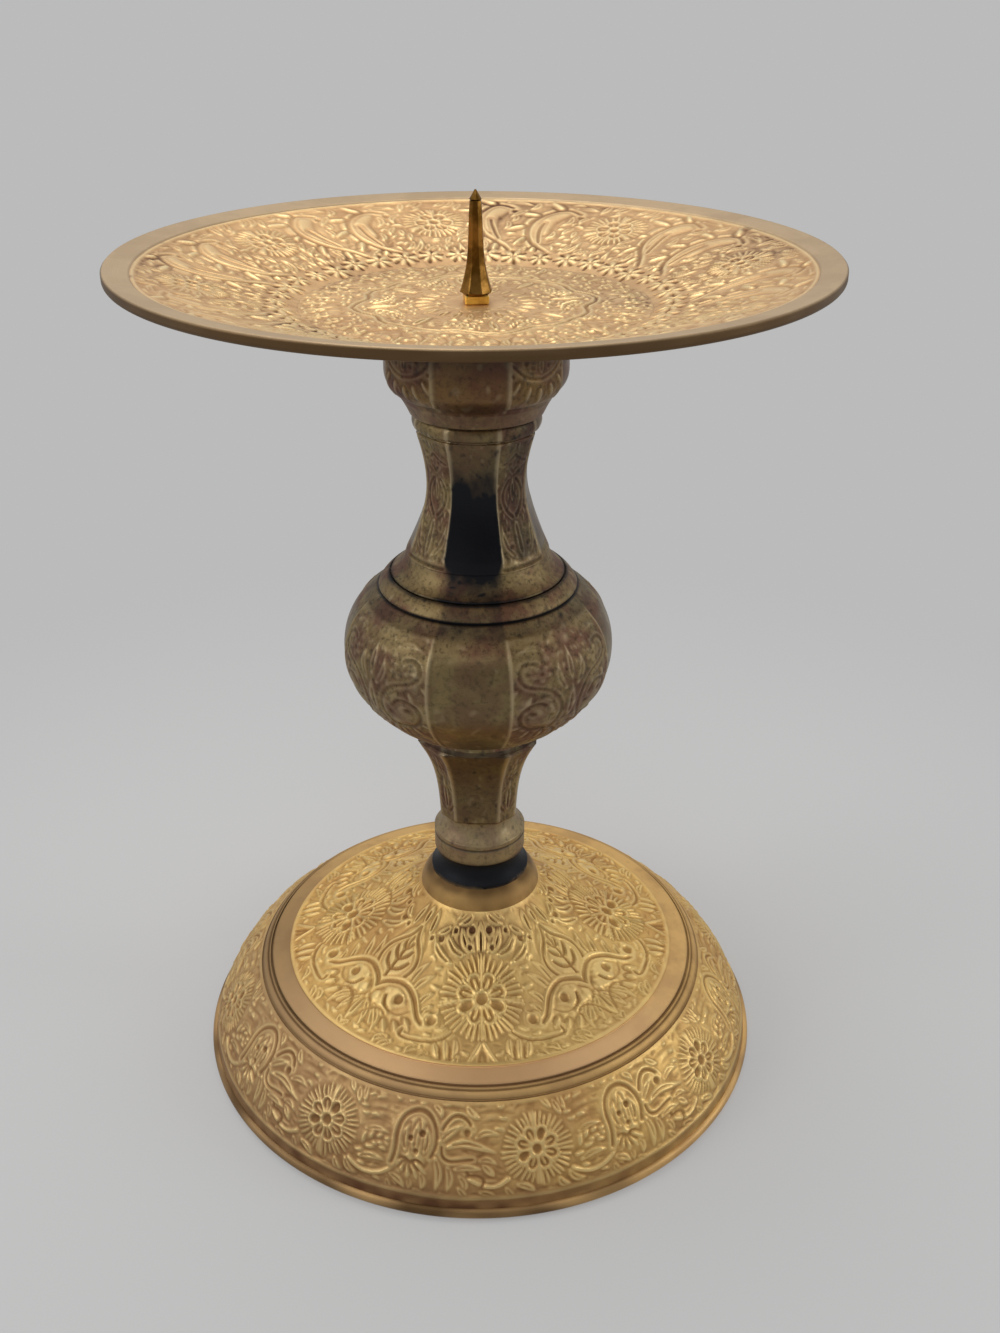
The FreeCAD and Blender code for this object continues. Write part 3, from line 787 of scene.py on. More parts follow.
def paintSkirt(theta, along, radius, height, masks):
    # painted shade, darker towards the rim and most of all at the front and front left, with brown in the
    # hollows; a painted highlight on the right
    rough = patchy(radius, 5, 15)
    rimward = smoothStep(along, 18.5, 23.5) * rough * (0.8 + onSide(theta, 0, 50, 0.6))
    return {"stain": unit(rimward + 0.42 * masks["hollow"] * rough + onSide(theta, -26, 36, 0.17)),
        "tint": ruddy(theta, 7), "crest": unit(masks["crest"] + onSide(theta, 66, 28, 0.4))}


def liftBand(theta, along, radius, height):
    # a crisp line cut in the ring under the band
    return -0.3 * bell(radius, 55.5, 0.2) * (height < 25.2)


def paintBand(theta, along, radius, height, masks):
    # black wax in the corners of the ring, a darker left side, and a painted highlight across the front
    lines = bell(radius, 54.5, 0.36) + bell(radius, 55.5, 0.34) + bell(radius, 57.15, 0.4)
    rough = patchy(radius, 8, 16)
    # painted highlight across the front of the band
    frontHighlight = (onSide(theta, 15, 50, 0.9) + onSide(theta, 2, 30, 0.4)) * (radius < 54.5)
    stain = lines * (0.4 + 0.4 * rough) + 0.14 * rough + onSide(theta, -92, 34, 0.42)
    return {"stain": unit(stain), "tint": ruddy(theta, 8), "crest": unit(frontHighlight)}


def paintRim(theta, along, radius, height, masks):
    # stained in blots, with painted shade at the front and a painted highlight on the right
    rough = wander(radius.shape, 4, 17)
    stain = 0.5 + 0.9 * rough - onSide(theta, 60, 45, 0.4) + onSide(theta, 0, 45, 0.35)
    crest = onSide(theta, 60, 45, 0.5) * (0.5 + rough)
    return {"stain": unit(stain), "tint": ruddy(theta, 9), "crest": unit(crest)}


def paintBoss(theta, along, radius, height, masks):
    # darker towards the stem
    stain = 0.5 * smoothStep(height, 46.5, 49.2) + 0.25 + 0.5 * patchy(radius, 6, 18)
    return {"stain": unit(stain)}


makeSkin("foot_boss", "foot_base", outline((12.2, 49.2), [(15.0, 44.5, -0.5)]),
    foot["plainColumns"], turnedGold, paint=paintBoss)
makeSkin("foot_medallion", "foot_base", outline((15.0, 44.5), [(49.7, 26.65, 2.4)], 0.37),
    foot["columns"], castGold, lift=liftMedallion, paint=paintMedallion)
makeSkin("foot_band", "foot_base",
    outline((49.7, 26.65), [(49.7, 26.3), (54.3, 25.5), (54.3, 24.6), (54.8, 24.6), (54.8, 25.05),
    (56.8, 23.45, -0.35), (56.8, 23.0), (57.3, 23.0)], 0.12), foot["plainColumns"], turnedGold,
    lift=liftBand, paint=paintBand)
makeSkin("foot_skirt", "foot_base", outline((57.3, 23.0), [(70.4, 3.3, -1.95)], 0.3),
    foot["skirtColumns"], castGold, lift=liftSkirt, paint=paintSkirt)
makeSkin("foot_rim", "foot_base",
    outline((70.4, 3.3), [(70.8, 3.3), (70.8, 0.8, -0.8), (70.0, 0), (67.8, 0)], 0.25),
    foot["plainColumns"], turnedGold, paint=paintRim)
makeSkin("foot_hollow", "foot_base",
    outline((67.8, 0), [(67.8, 3.3), (54.7, 20.4, 1.95), (47.1, 23.7), (16.5, 41.2, -2.4),
    (3.2, 41.2), (3.2, 49.2), (12.2, 49.2)], 0.8), foot["plainColumns"], underGold)
print("stage 3: foot dressed")


# dish

dish = {
    "floorColumns": 720, "wallColumns": 1280, "plainColumns": 480,
    "relief": 0.95,           # height of the carving against the drawn height
    "drift": 0.9,             # how far repeats wander from each other
    "turn": 14.0,             # turn of the carving from the front
    "wallMiddle": 55,         # radius that the wall's carving is drawn for
    "wallRepeat": 43.2,       # length that the wandering of one repeat dies out over
    "flowers": 40, "flowerRadius": 3.0, "garlandRadius": 41.0,
}


def wallSheet():
    # one eighth of the sloping wall: across is round the dish, down is from the border to the floor
    s = newSheet(eighthTurn * dish["wallMiddle"], 34.2, 2, wraps=True)
    # two scrolls that rise from the garland, the second leaning on the first
    leaning = [(22.4, 33.0), (23.4, 27.4), (27.0, 23.0), (31.2, 18.6), (33.0, 12.6), (31.8, 6.4),
        (28.4, 3.2), (25.4, 4.6)]
    upright = [(8.6, 32.4), (11.4, 27.6), (16.0, 24.6), (19.8, 19.6), (20.6, 13.6), (18.4, 7.8),
        (14.0, 4.8), (10.6, 6.2)]
    for scroll in np.array([leaning, upright]):
        middle = np.mean(scroll[3:], axis=0)
        stroke(s, [middle + (1.2, 6.0), middle + (1.6, 0.4), middle - (2.0, 4.0)], 7.0, 0.3,
            (0.6, 0.4), 0.7, 0.26)
        vine(s, scroll, 1.2, 0.3, (0.6, 0.6))
        vine(s, [scroll[2] + (0.4, -2.6), scroll[3] + (-2.2, -2.4), scroll[4] + (-3.0, -1.6)], 0.8,
            0.32)
        for place, turn in ((1, 20), (2, -8), (3, -30), (4, -62), (5, -98), (6, -140)):
            finger(s, scroll[place][0] + 0.9, scroll[place][1] - 0.2, 4.4, 1.3, turn)
        pit(s, scroll[-1][0] - 0.4, scroll[-1][1] + 1.6, 0.8, 0.36)
        for place, ways, width, height, vein in (
                (1, [(-2.4, -1.0), (-5.6, -3.6), (-6.4, -7.4)], 2.1, 0.34, 0.3),
                (0, [(1.8, -2.0), (5.4, -3.2), (8.8, -3.4)], 2.0, 0.34, 0.3),
                (6, [(-1.6, -1.2), (-4.6, -1.6), (-7.0, -0.6)], 1.6, 0.3, 0.28)):
            leaf(s, scroll[place] + ways, width, height, vein)
    leaf(s, [(34.6, 30.6), (37.0, 27.0), (38.0, 22.4)], 2.2, 0.36, 0.32)
    leaf(s, [(0, 33.4), (0, 29.8), (0, 25.4)], 2.2, 0.36, 0.3)
    rosette(s, 0, 12.4, 7.4, 6, 30)
    fillIn(s, 420, 5.4, 1.7, 62, 33, 0.34, 0.9)
    fillIn(s, 1800, 2.6, 1.0, lambda x, y: 90 if y > 24 else 20, 7, 0.26)
    return s


def floorSheet():
    # one eighth of the flat floor, seen from above with the wall at the bottom
    s = newSheet(30, 38)
    for turn in range(0, 46, 9):
        leaf(s, polar((turn, 35.4), (turn + 1.5, 33.2), (turn, 30.8)), 1.5, 0.26, 0.3)
    for turn in range(4, 46, 9):
        groove(s, polar((turn, 34.6), (turn - 2, 31.4), (turn + 1, 28.2)), 0.7, 0.34)
    vine(s, [(0, 25.8), (4.0, 24.4), (7.6, 21.8), (11.6, 21.4), *polar((45, 23.8))], 0.9, 0.4,
        (0.8, 0.8))
    frond(s, [(3.4, 22.0), (5.6, 18.6), (9.6, 16.4)], 6, 2.2, 0.9, 0.3, 58)
    leaf(s, [(0, 22.6), (0, 19.4), (0, 16.2)], 2.0, 0.32)
    leaf(s, polar((45, 21.4), (45, 18.4), (45, 15.4)), 2.0, 0.32)
    for turn in (0, 15, 30, 45):
        leaf(s, polar((turn, 13.2), (turn, 11.4), (turn, 9.4)), 1.3, 0.24)
    fillIn(s, 2400, 1.9, 0.8, lambda x, y: -math.degrees(math.atan2(x, y)), 8, 0.26)
    return s


wall = wallSheet()
floorCarving = floorSheet()


def garland(theta, radius):
    # open flowers side by side where the wall meets the floor, each a little different
    step = 360 / dish["flowers"]
    number = np.floor(theta / step).astype(int) % dish["flowers"]
    dice = np.random.default_rng(14)
    size, spin, shift = (dice.uniform(low, high, dish["flowers"])[number]
        for low, high in ((0.8, 1.15), (0, 6.28), (-0.7, 0.7)))
    across = np.radians((theta % step) - step / 2) * dish["garlandRadius"]
    down = radius - dish["garlandRadius"] + shift
    far = np.hypot(across, down) / dish["flowerRadius"] / size
    turn = np.arctan2(across, down) + spin
    petals = unit(1.0 - far / (0.82 + 0.22 * np.cos(6 * turn))) ** 0.5
    veins = unit(np.cos(6 * turn + math.pi)) ** 3 * (far < 1.1)
    button = unit(1 - (far / 0.22) ** 2) ** 0.5
    return 0.4 * petals - 0.3 * veins * (far > 0.2) - 0.3 * button - 0.08


def liftWall(theta, along, radius, height):
    turned = theta - dish["turn"]
    toBorder = along.max() - along
    carving = readRepeated(wall, turned, toBorder, dish["wallMiddle"], dish["wallRepeat"], 50,
        dish["drift"])
    carving = carving * (0.75 + 0.25 * smoothStep(toBorder, 8, 22))
    fade = smoothStep(radius, 43.6, 44.8)
    flowers = garland(turned, radius) * (1 - fade)
    uneven = wander(radius.shape, 5, 8) * 0.08
    lift = (dish["relief"] * (carving * fade + flowers) + uneven) * smoothStep(toBorder, 0.6, 1.6)
    return lift + 0.16 * bell(toBorder, 0.5, 0.3)


def liftFloor(theta, along, radius, height):
    carving = readMirrored(floorCarving, theta, radius, dish["turn"], 60, dish["drift"])
    fade = smoothStep(radius, 36.0, 37.2)
    flowers = garland(theta - dish["turn"], radius) * fade
    uneven = wander(radius.shape, 4, 9) * 0.06
    inside = smoothStep(radius, 5.0, 9.0)
    return (dish["relief"] * (carving * (1 - fade) + flowers) + uneven) * inside


def paintDish(theta, along, radius, height, masks):
    # brown stays in the hollows, most of all round the garland and in a few patches
    ring = bell(radius, 43, 6.5)
    blot = unit(wander(radius.shape, 34, 13) * 2.2 - 0.2)
    rough = patchy(radius, 4, 12)
    specks = unit(wander(radius.shape, 3, 28) * 3 - 1.0) * (0.15 + 0.9 * ring * (0.3 + blot) + blot)
    stain = (0.3 + 0.8 * ring + 2.0 * blot) * masks["hollow"] * (0.3 + rough) + 0.8 * specks
    return {"stain": unit(stain), "tint": unit(0.5 * blot + onSide(theta, 135, 55, 0.6))}


def paintBorder(theta, along, radius, height, masks):
    # the outer edge and the underside of its lip are nearly black
    edge = smoothStep(radius, 74.55, 74.85) * (1 - smoothStep(height, 201.55, 201.9))
    edge = edge + (height < 200.5) * (radius > 73)
    rough = patchy(radius, 5, 19)
    return {"stain": unit(edge * (0.75 + 0.35 * rough) + 0.12 * rough), "tint": 0.5 + 0.5 * rough}


makeSkin("plate_floor", "drip_plate", outline((1.6, 191.6), [(37.0, 191.6)], 0.4),
    dish["floorColumns"], dishGold, lift=liftFloor, paint=paintDish)
makeSkin("plate_wall", "drip_plate", outline((37.0, 191.6), [(69.5, 200.8)], 0.45),
    dish["wallColumns"], dishGold, lift=liftWall, paint=paintDish)
makeSkin("plate_border", "drip_plate",
    outline((69.5, 200.8), [(69.8, 201.1), (74.65, 201.9), (75.0, 201.55), (75.0, 200.3),
    (74.3, 199.6, -0.17)], 0.2), dish["plainColumns"], turnedGrey, paint=paintBorder)
makeSkin("plate_underside", "drip_plate",
    outline((74.3, 199.6), [(69.8, 198.8), (37.0, 189.6), (1.6, 189.6), (1.6, 191.6)], 0.8),
    dish["plainColumns"], underGold)
print("stage 4: dish dressed")


# stem

stem = {
    "worn": 2,                # how many cells the edges of the carving are rounded over
    "relief": 0.6,            # height of the carving against the drawn height
    "edgeWidth": 0.4, "edgeRise": 0.14,      # the line round each carved panel
    "sill": 0,                # depth of a line cut under each carved panel
    # how far the carved panels stand out of a round body, between two heights, and how softly
    "rise": 0, "riseLow": 0, "riseHigh": 0, "riseSoft": 1,
    "flats": None,            # how far carved flats and corners stand out of an eight-sided piece
    "plainLow": 0, "plainHigh": 1000,        # the heights between which plain panels are marked
    "line": 0.4, "edgeHighlight": 0.8,           # breadth and strength of the painted highlights along the plain panels' edges
    "pale": 0,                # lightens what is below plainLow
    "shadeRight": 0,            # painted shade on the right side
}
# half is half of a carved panel in degrees; middle, top and bottom are where its sheet lies,
# and width and size are the sheet's; strokes is how many small strokes are tried in its ground
# edgeRadius is the radius that the painted edge highlights are drawn for
# the list of bands gives heights, spreads and strengths of painted shade in ring gaps, under ledges, in
# the cove and under the dish, and of painted dark reflection on the front panels, and whether each lies
# only on the plain panels
# the cup's band is painted shade under the dish
cup = dict(stem, columns=480, half=21.6, middle=19.8, top=186.2, bottom=173.7, width=8.2, size=14,
    rise=0.25, riseLow=173.3, riseHigh=185.8, riseSoft=0.8, plainLow=172, edgeRadius=20, line=0.5,
    strokes=29, pale=0.28, shadeBands=[(190.5, 9.0, 0.75, False)])
# the neck's first band is the painted dark reflection on its front panel, the second painted shade in the
# ring's gap
neck = dict(stem, columns=420, half=21.2, middle=14.5, top=164.4, bottom=137.6, width=5.6, size=29,
    sill=0.34, flats=(1.05, 1.075), plainLow=138, edgeRadius=14, line=0.5, edgeHighlight=1.3,
    strokes=405, shadeRight=0.5, shadeBands=[(143.9, 13.2, 1.45, True), (131.2, 0.4, 0.5, False)])
# the bulb's bands are painted shade in the ring gaps and under the ledges, and painted dark reflection on
# the front of its shoulder
bulb = dict(stem, columns=600, half=27.9, middle=30.0, top=125.3, bottom=95.1, width=15.5, size=40,
    worn=3, rise=0.2, riseLow=94.8, riseHigh=124.8, riseSoft=0.6, plainHigh=123.5, edgeRadius=30,
    strokes=90, line=0.35, edgeHighlight=0.45, shadeBands=[(130.9, 0.25, 0.7, False),
    (127.75, 0.22, 0.8, False), (126.4, 1.6, 0.35, False), (128.5, 3.6, 0.5, True)])
# the waist's bands are painted dark reflection in the cove, painted shade in the groove and under the
# bulb, and painted dark reflection on its front panel
waist = dict(stem, columns=320, half=14.5, middle=11.2, top=88.3, bottom=67.4, width=3.6, size=22,
    flats=(1.09, 1.12), plainLow=66.5, edgeRadius=11, line=0.6, edgeHighlight=0.9, pale=0.45,
    strokes=198, shadeBands=[(52.6, 3.2, 1.4, False), (59.9, 0.3, 0.7, False), (90.0, 1.3, 0.45, False),
    (78.0, 12.0, 0.3, True)])


def flatsOf(shares):
    # how an eight-sided piece swells over its plain flats, with its corners rounded
    carvedShare, cornerShare = shares

    def spread(angle):
        plain = 1 / np.cos(np.radians(eighth(angle)))
        carved = carvedShare / np.cos(np.radians(eighth(angle - 45)))
        return np.minimum(np.minimum(plain, carved), cornerShare)
    return spread


def joined(*sections):
    # outlines one under the other, with their share of flatness at their start and end
    rows = []
    for points, (first, last) in sections:
        share = np.interp(np.linspace(0, 1, len(points)), [0, 0.62, 1], [first, first, last])
        rows.append(np.column_stack([points, share]))
    return np.concatenate(rows)


# each draws half a carved panel on a sheet: across from its middle, down from its top

def drawBulb(s):
    stroke(s, [(3.6, 31.0), (8.4, 24.0), (7.0, 18.6)], 6.5, 0.3, (0.6, 0.4), 0.6, 0.25)
    vine(s, [(0, 38.4), (1.2, 33.4), (4.6, 29.4), (9.6, 28.2), (12.6, 24.6), (11.8, 20.2),
        (8.2, 18.8), (5.8, 21.4)], 1.1, 0.46)
    vine(s, [(4.6, 29.4), (2.6, 24.4), (3.4, 18.8), (6.8, 14.6), (10.8, 12.8), (12.8, 9.6),
        (11.4, 6.6), (8.6, 6.9)], 1.0, 0.44)
    for x, y, length, width, turn in (
            (12.4, 26.4, 3.4, 0.95, -70), (9.8, 28.8, 3.6, 1.0, -30), (6.2, 30.2, 3.6, 1.0, -8),
            (13.2, 13.2, 3.0, 0.9, -40), (10.4, 15.6, 3.0, 0.9, -16)):
        finger(s, x, y, length, width, turn)
    leaf(s, [(0, 26.0), (0, 21.0), (0, 15.2)], 3.0, 0.42)
    leaf(s, [(1.6, 16.0), (3.4, 11.8), (3.2, 7.2)], 2.2, 0.42)
    leaf(s, [(0, 13.6), (0, 9.4), (0, 4.4)], 2.2, 0.4)
    blossom(s, 7.6, 9.8, 2.5, 5)
    leaf(s, [(2.6, 33.0), (5.4, 34.6), (6.6, 38.0)], 1.9, 0.38)
    leaf(s, [(12.4, 31.4), (13.2, 34.2), (12.6, 37.0)], 1.6, 0.36)
    leaf(s, [(6.0, 3.9), (9.2, 2.9), (12.8, 3.9)], 1.6, 0.36)
    for x, y in ((5.0, 23.8), (9.8, 22.0), (1.6, 29.6), (11.0, 9.2)):
        pit(s, x, y, 0.75, 0.4)


def drawCup(s):
    for x, y, length, width, turn in (
            (0, 9.6, 3.4, 1.0, 0), (2.7, 8.8, 3.2, 0.9, -16), (5.2, 7.4, 3.0, 0.85, -30)):
        finger(s, x, y, length, width, turn)
    vine(s, [(0, 7.4), (2.6, 6.8), (5.0, 5.4), (6.8, 3.4)], 0.8, 0.36)
    leaf(s, [(0, 5.8), (0, 3.6), (0, 1.4)], 1.7, 0.36)
    for x, y in ((2.2, 4.6), (3.9, 3.3), (2.0, 2.2), (3.9, 1.4), (5.6, 1.6), (6.9, 5.8)):
        pit(s, x, y, 0.6, 0.4)


def drawNeck(s):
    leaf(s, [(0, 27.8), (0, 22.8), (0, 17.2)], 2.6, 0.4)
    leaf(s, [(1.4, 27.6), (3.8, 24.4), (4.4, 19.6)], 2.0, 0.38)
    vine(s, [(0.6, 18.4), (2.8, 15.8), (3.2, 12.2), (1.2, 9.4)], 0.8, 0.36)
    leaf(s, [(0, 14.6), (0, 11.6), (0, 8.8)], 1.8, 0.36)
    for line in ([(0, 7.6), (1.8, 5.9), (4.0, 5.2)], [(0, 3.2), (1.8, 4.5), (4.0, 5.2)]):
        vine(s, line, 0.75, 0.36, (0.8, 0.4))
    for x, y in ((2.6, 21.0), (4.8, 25.8), (2.4, 24.8), (1.4, 5.4)):
        pit(s, x, y, 0.55, 0.35)


def drawWaist(s):
    leaf(s, [(0, 19.6), (0, 15.0), (0, 9.6)], 2.2, 0.38)
    leaf(s, [(1.0, 12.4), (2.4, 9.0), (2.2, 5.4)], 1.5, 0.36)
    leaf(s, [(0, 8.4), (0, 5.4), (0, 2.2)], 1.7, 0.36)
    vine(s, [(0.8, 20.0), (2.5, 17.4), (2.8, 13.6), (1.6, 11.8)], 0.7, 0.32)


def carvePanels(piece, draw):
    # carving on the four panels over the diagonals, framed by a raised line
    half, middle, size, top = piece["half"], piece["middle"], piece["size"], piece["top"]
    edge = math.radians(half) * middle
    sheet = newSheet(piece["width"], size, piece["worn"])
    draw(sheet)
    fillIn(sheet, piece["strokes"], 2.0, 0.8, 70, 9, 0.2)
    lastPlace = (sheet["level"].shape[1] - 1.01) * sheet["cell"]

    def lift(theta, along, radius, height):
        away = np.abs(theta % 90 - 45)
        across = np.radians(away) * middle
        down = (top - height) / (top - piece["bottom"]) * size
        carving = readSheet(sheet, np.minimum(across, lastPlace), np.clip(down, 0, size))
        inside = between(down, 0.0, 0.6, size - 0.6, size)
        inside = inside * (1 - smoothStep(across, edge - 0.7, edge - 0.2))
        frameLine = between(down, -0.5, 0.4, size - 0.4, size + 0.5)
        frameLine = frameLine * bell(across, edge, piece["edgeWidth"])
        sill = bell(down, size + 0.6, 0.32) * (1 - smoothStep(across, edge - 0.4, edge + 0.4))
        raised = 1 - smoothStep(away, half - piece["riseSoft"], half + piece["riseSoft"])
        low, high = piece["riseLow"], piece["riseHigh"]
        raised = raised * between(height, low, low + 0.8, high, high + 0.8)
        carved = inside * (carving * piece["relief"] + wander(theta.shape, 4, 21) * 0.1)
        return carved + piece["edgeRise"] * frameLine - piece["sill"] * sill + piece["rise"] * raised
    return lift


def markPlain(piece):
    # plain panels have the second colour and painted highlights along their edges; the piece also gets
    # specks, dirt, dark patches, painted shade and painted dark reflection
    half, bottom, top = piece["half"], piece["plainLow"], piece["plainHigh"]

    def paint(theta, along, radius, height, masks):
        away = np.abs(theta % 90 - 45)
        facing = np.abs(wrapped(theta))
        panels = between(height, bottom, bottom + 1, top - 1.5, top)
        plain = smoothStep(away, half, half + 1.5) * panels
        rough = patchy(theta, 7, 22)
        # specks, then dirt in the hollows, then broad dark patches
        black = 0.5 * unit(wander(theta.shape, 2, 23) * 2 - 0.5)
        black += 0.5 * masks["hollow"] * unit(wander(theta.shape, 6, 29) * 2)
        black += 0.42 * unit(wander(theta.shape, 11, 31) * 2 - 0.15)
        # painted shade on the right side
        black += onSide(theta, 48, 22, piece["shadeRight"]) * (0.5 + rough) * panels
        # bands of painted shade, and painted dark reflection on the front panels
        for middle, spreadUp, strength, onPlain in piece["shadeBands"]:
            ragged = height - middle
            front = 1
            if onPlain:
                # on the front panel this is the painted dark reflection, by far the blackest; it ends
                # raggedly and runs down
                ragged = ragged + 3.2 * wander(theta.shape, 9, 24)
                ragged = ragged + 2.4 * wander(theta.shape, 3, 25)
                below = np.clip(bottom + 1 - height, 0, 9)
                edgeAt = 44 - half - 1.8 * below + 1.5 * below * wander(theta.shape, 12, 27)
                front = 1 - smoothStep(facing, edgeAt, edgeAt + 2.5 + 2 * below) + 0.12 * plain
            fall = np.exp(-np.abs(ragged / spreadUp) ** (2.2 if onPlain else 4))
            black += strength * fall * front * (0.8 + 0.3 * rough)
        # painted highlights along the plain panels' edges
        edge = bell(np.radians(away - half) * piece["edgeRadius"], 0, piece["line"]) * panels
        gold = unit(wander(theta.shape, 3, 26) * 2.0 - 0.5)
        light = masks["crest"] + piece["edgeHighlight"] * edge + 0.9 * gold
        light = light + piece["pale"] * (height < bottom)
        return {"tint": plain, "stain": unit(black), "crest": unit(light)}
    return paint


cupPath = outline((18.5, 189.6), [
    [(19.55, 185.4), (19.85, 179.8), (19.55, 176.2), (17.1, 172.9), (14.7, 168.7)],
    (13.15, 168.7)], 0.28)
neckPath = joined(
    (outline((13.15, 168.7), [
        (13.85, 168.1), (13.85, 165.5, -0.35), (13.15, 165.5), (13.15, 164.9)], 0.25), (0, 0)),
    (outline((12.8, 164.9), [
        [(11.9, 161.5), (10.95, 155.5), (11.0, 150.9), (13.25, 142.9), (16.2, 136.3)]], 0.28), (1, 0.2)),
    (outline((16.2, 136.3), [(19.75, 131.4, 0.6), (19.75, 131.1)], 0.2), (0, 0)))
bulbPath = outline((19.5, 130.85), [
    (20.2, 130.85), (20.2, 131.1), (22.8, 128.1, -0.22), (22.35, 127.8), (23.4, 127.5), (25.4, 125.5),
    [(28.8, 121.6), (31.35, 113.2), (29.3, 104.3), (24.6, 98.3), (19.4, 94.1), (15.4, 92.5)],
    (15.4, 90.8)], 0.34)
waistPath = joined(
    (outline((14.9, 90.8), [(14.9, 88.9)], 0.3), (0, 0)),
    (outline((14.15, 88.9), [[(12.58, 85.82), (10.68, 80.1), (9.67, 73.5), (9.25, 66.9)]], 0.28), (1, 1)),
    (outline((9.25, 66.9), [
        (11.3, 61.3, 1.0), (11.3, 60.15), (10.95, 59.9), (11.3, 59.65), (11.3, 55.7), (10.5, 55.7),
        (12.2, 50.1, 0.9), (12.2, 49.2)], 0.25), (0, 0)))
for name, node, path, piece, draw, material in (
        ("cup_body", "plate_cup", cupPath, cup, drawCup, castRuddy),
        ("neck_body", "stem_neck", neckPath, neck, drawNeck, castAged),
        ("bulb_body", "stem_bulb", bulbPath, bulb, drawBulb, castAged),
        ("lower_stem_body", "lower_stem", waistPath, waist, drawWaist, castAged)):
    sides = flatsOf(piece["flats"]) if piece["flats"] else None
    makeSkin(name, node, path, piece["columns"], material, sides, carvePanels(piece, draw),
        markPlain(piece))
print("stage 5: stem dressed")


# parts kept from the frame

keptFinishes = {"spike_collar": machinedYellow, "pricket_spike": filedSpike, "tie_rod": platedSteel,
    "base_nut": platedSteel, "base_washer": platedSteel}
for node, material in keptFinishes.items():
    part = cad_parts[node]
    for slot in part.material_slots:
        slot.material = material
    if not part.material_slots:
        part.data.materials.append(material)
print("stage 6: kept parts finished")


# floor, lamps and camera

studio = {
    "floorColour": "#BBBBBB", "floorSize": 12000, "mattColour": "#D8D8D8",
    # the floor is even light from shadowEnd outwards, and less of it up to shadowStart
    "shadowShare": 0.5, "shadowStart": 90, "shadowEnd": 320,
    # the world's level at the horizon, more towards the top and back
    "worldLevel": 0.5, "worldRise": 0.1, "worldLean": 0.6,
    "cameraTurn": 3.0, "cameraDistance": 294.92, "cameraHeight": 261.37, "cameraSide": 4.91,
    "cameraPitch": 27.852, "cameraRoll": -0.069, "lens": 37.91,
    "cardWidth": 90, "cardHeight": 170, "cardColour": "#08090C",
    # each lamp's place, what it looks at, its width and height, and its watts
    "lamps": {"top_softbox": ((-150, 150, 900), (0, 0, 100), 700, 500, 2.5),
              "left_softbox": ((-700, -350, 520), (0, 0, 100), 420, 420, 1.6),
              "front_softbox": ((0, -620, 820), (0, 0, 30), 500, 300, 1.0),
              "right_strip": ((620, -60, 330), (0, 0, 90), 120, 420, 0.7)},
}


def addPlane(name, width, height, material):
    x, y = width / 2 * milli, height / 2 * milli
    mesh = bpy.data.meshes.new(name)
    mesh.from_pydata([(-x, -y, 0), (x, -y, 0), (x, y, 0), (-x, y, 0)], [], [(0, 1, 2, 3)])
    mesh.materials.append(material)
    plane = addObject(name, mesh)
    return plane


paper = newMaterial("matt_grey_paper")
where = addNode(paper, "TexCoord")
distance = addNode(paper, "VectorMath", {"operation": "LENGTH"}, links={0: (where, "Object")})
farShare = addNode(paper, "MapRange", {"interpolation_type": "SMOOTHSTEP"},
    {"From Min": studio["shadowStart"] * milli, "From Max": studio["shadowEnd"] * milli,
    "To Min": studio["shadowShare"]}, {"Value": (distance, "Value")})
matt = addNode(paper, "BsdfDiffuse", inputs={"Color": linear(studio["mattColour"]),
    "Roughness": 1.0})
evenLight = addNode(paper, "Emission", inputs={"Color": linear(studio["floorColour"]),
    "Strength": 1.0})
mixed = addNode(paper, "MixShader", links={0: (farShare, 0), 1: (matt, 0), 2: (evenLight, 0)})
addNode(paper, "OutputMaterial", links={"Surface": (mixed, 0)})
addPlane("floor", studio["floorSize"], studio["floorSize"], paper)

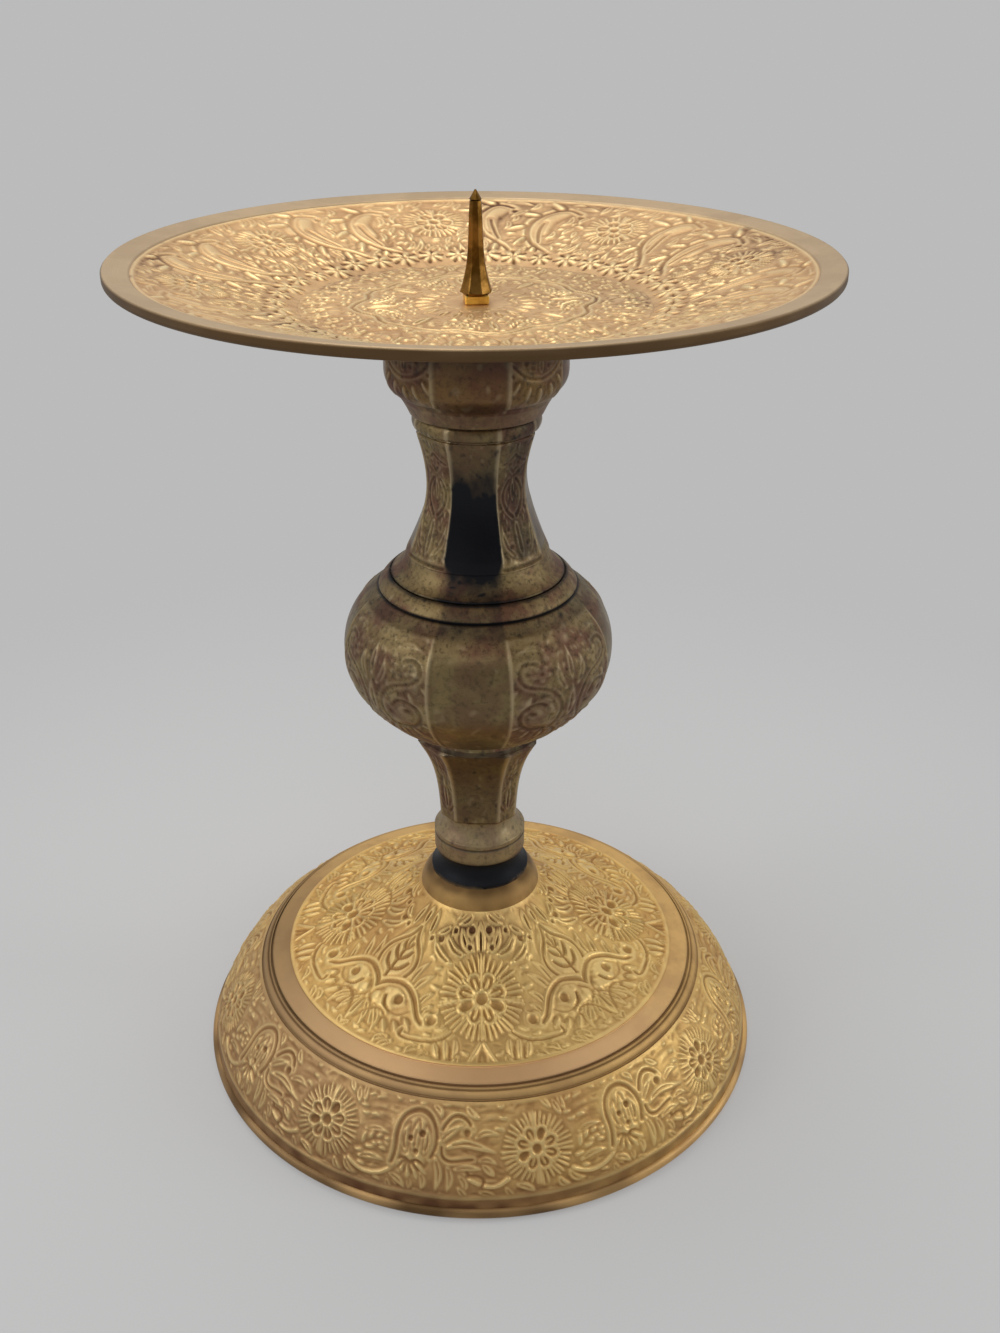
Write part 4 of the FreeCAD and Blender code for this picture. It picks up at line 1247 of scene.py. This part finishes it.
for name, (place, aim, width, height, watts) in studio["lamps"].items():
    data = bpy.data.lights.new(name, "AREA")
    data.shape = "RECTANGLE"
    data.size, data.size_y = width * milli, height * milli
    data.energy = watts
    lamp = addObject(name, data)
    lamp.location = [v * milli for v in place]
    x, y, z = np.subtract(aim, place)
    lamp.rotation_euler = (math.atan2(math.hypot(x, y), -z), 0, math.atan2(x, -y) + math.pi)

world = bpy.data.worlds.new("studio")
bpy.context.scene.world = world
world.use_nodes = True
world.node_tree.nodes.clear()
way = addNode(world, "TexCoord")
split = addNode(world, "SeparateXYZ", links={0: (way, "Generated")})
upward = addNode(world, "Math", {"operation": "MAXIMUM"}, {1: 0.0}, {0: (split, 2)})
gain = addNode(world, "Math", {"operation": "MULTIPLY_ADD"},
    {1: studio["worldLean"], 2: studio["worldRise"]}, {0: (split, 1)})
level = addNode(world, "Math", {"operation": "MULTIPLY_ADD"}, {2: studio["worldLevel"]},
    {0: (upward, 0), 1: (gain, 0)})
sky = addNode(world, "Background", inputs={"Color": linear("#FFFFFF")},
    links={"Strength": (level, 0)})
addNode(world, "OutputWorld", links={"Surface": (sky, 0)})

# the lens was worked out from the rings in the picture: its distance, height and tilt
cameraData = bpy.data.cameras.new("camera")
camera = addObject("camera", cameraData)
cameraData.sensor_fit = "VERTICAL"
cameraData.sensor_height = 36
cameraData.sensor_width = 27
cameraData.lens = studio["lens"]
cameraData.clip_start, cameraData.clip_end = 0.01, 50
swing = math.radians(studio["cameraTurn"])
side, back = studio["cameraSide"], studio["cameraDistance"]
camera.location = ((side * math.cos(swing) + back * math.sin(swing)) * milli,
    (side * math.sin(swing) - back * math.cos(swing)) * milli, studio["cameraHeight"] * milli)
camera.rotation_euler = (math.radians(90 - studio["cameraPitch"]),
    math.radians(studio["cameraRoll"]), swing)
bpy.context.scene.camera = camera

# a dark card at the lens, which only shows in the polished metal
blackCard = newMaterial("black_card")
blackPaper = addNode(blackCard, "BsdfDiffuse", inputs={"Color": linear(studio["cardColour"])})
addNode(blackCard, "OutputMaterial", links={"Surface": (blackPaper, 0)})
card = addPlane("dark_card", studio["cardWidth"], studio["cardHeight"], blackCard)
card.visible_camera = False
card.visible_diffuse = False
card.visible_shadow = False
card.location = camera.location
card.rotation_euler = camera.rotation_euler
bpy.context.scene.view_settings.view_transform = "Standard"
print("stage 7: studio ready")
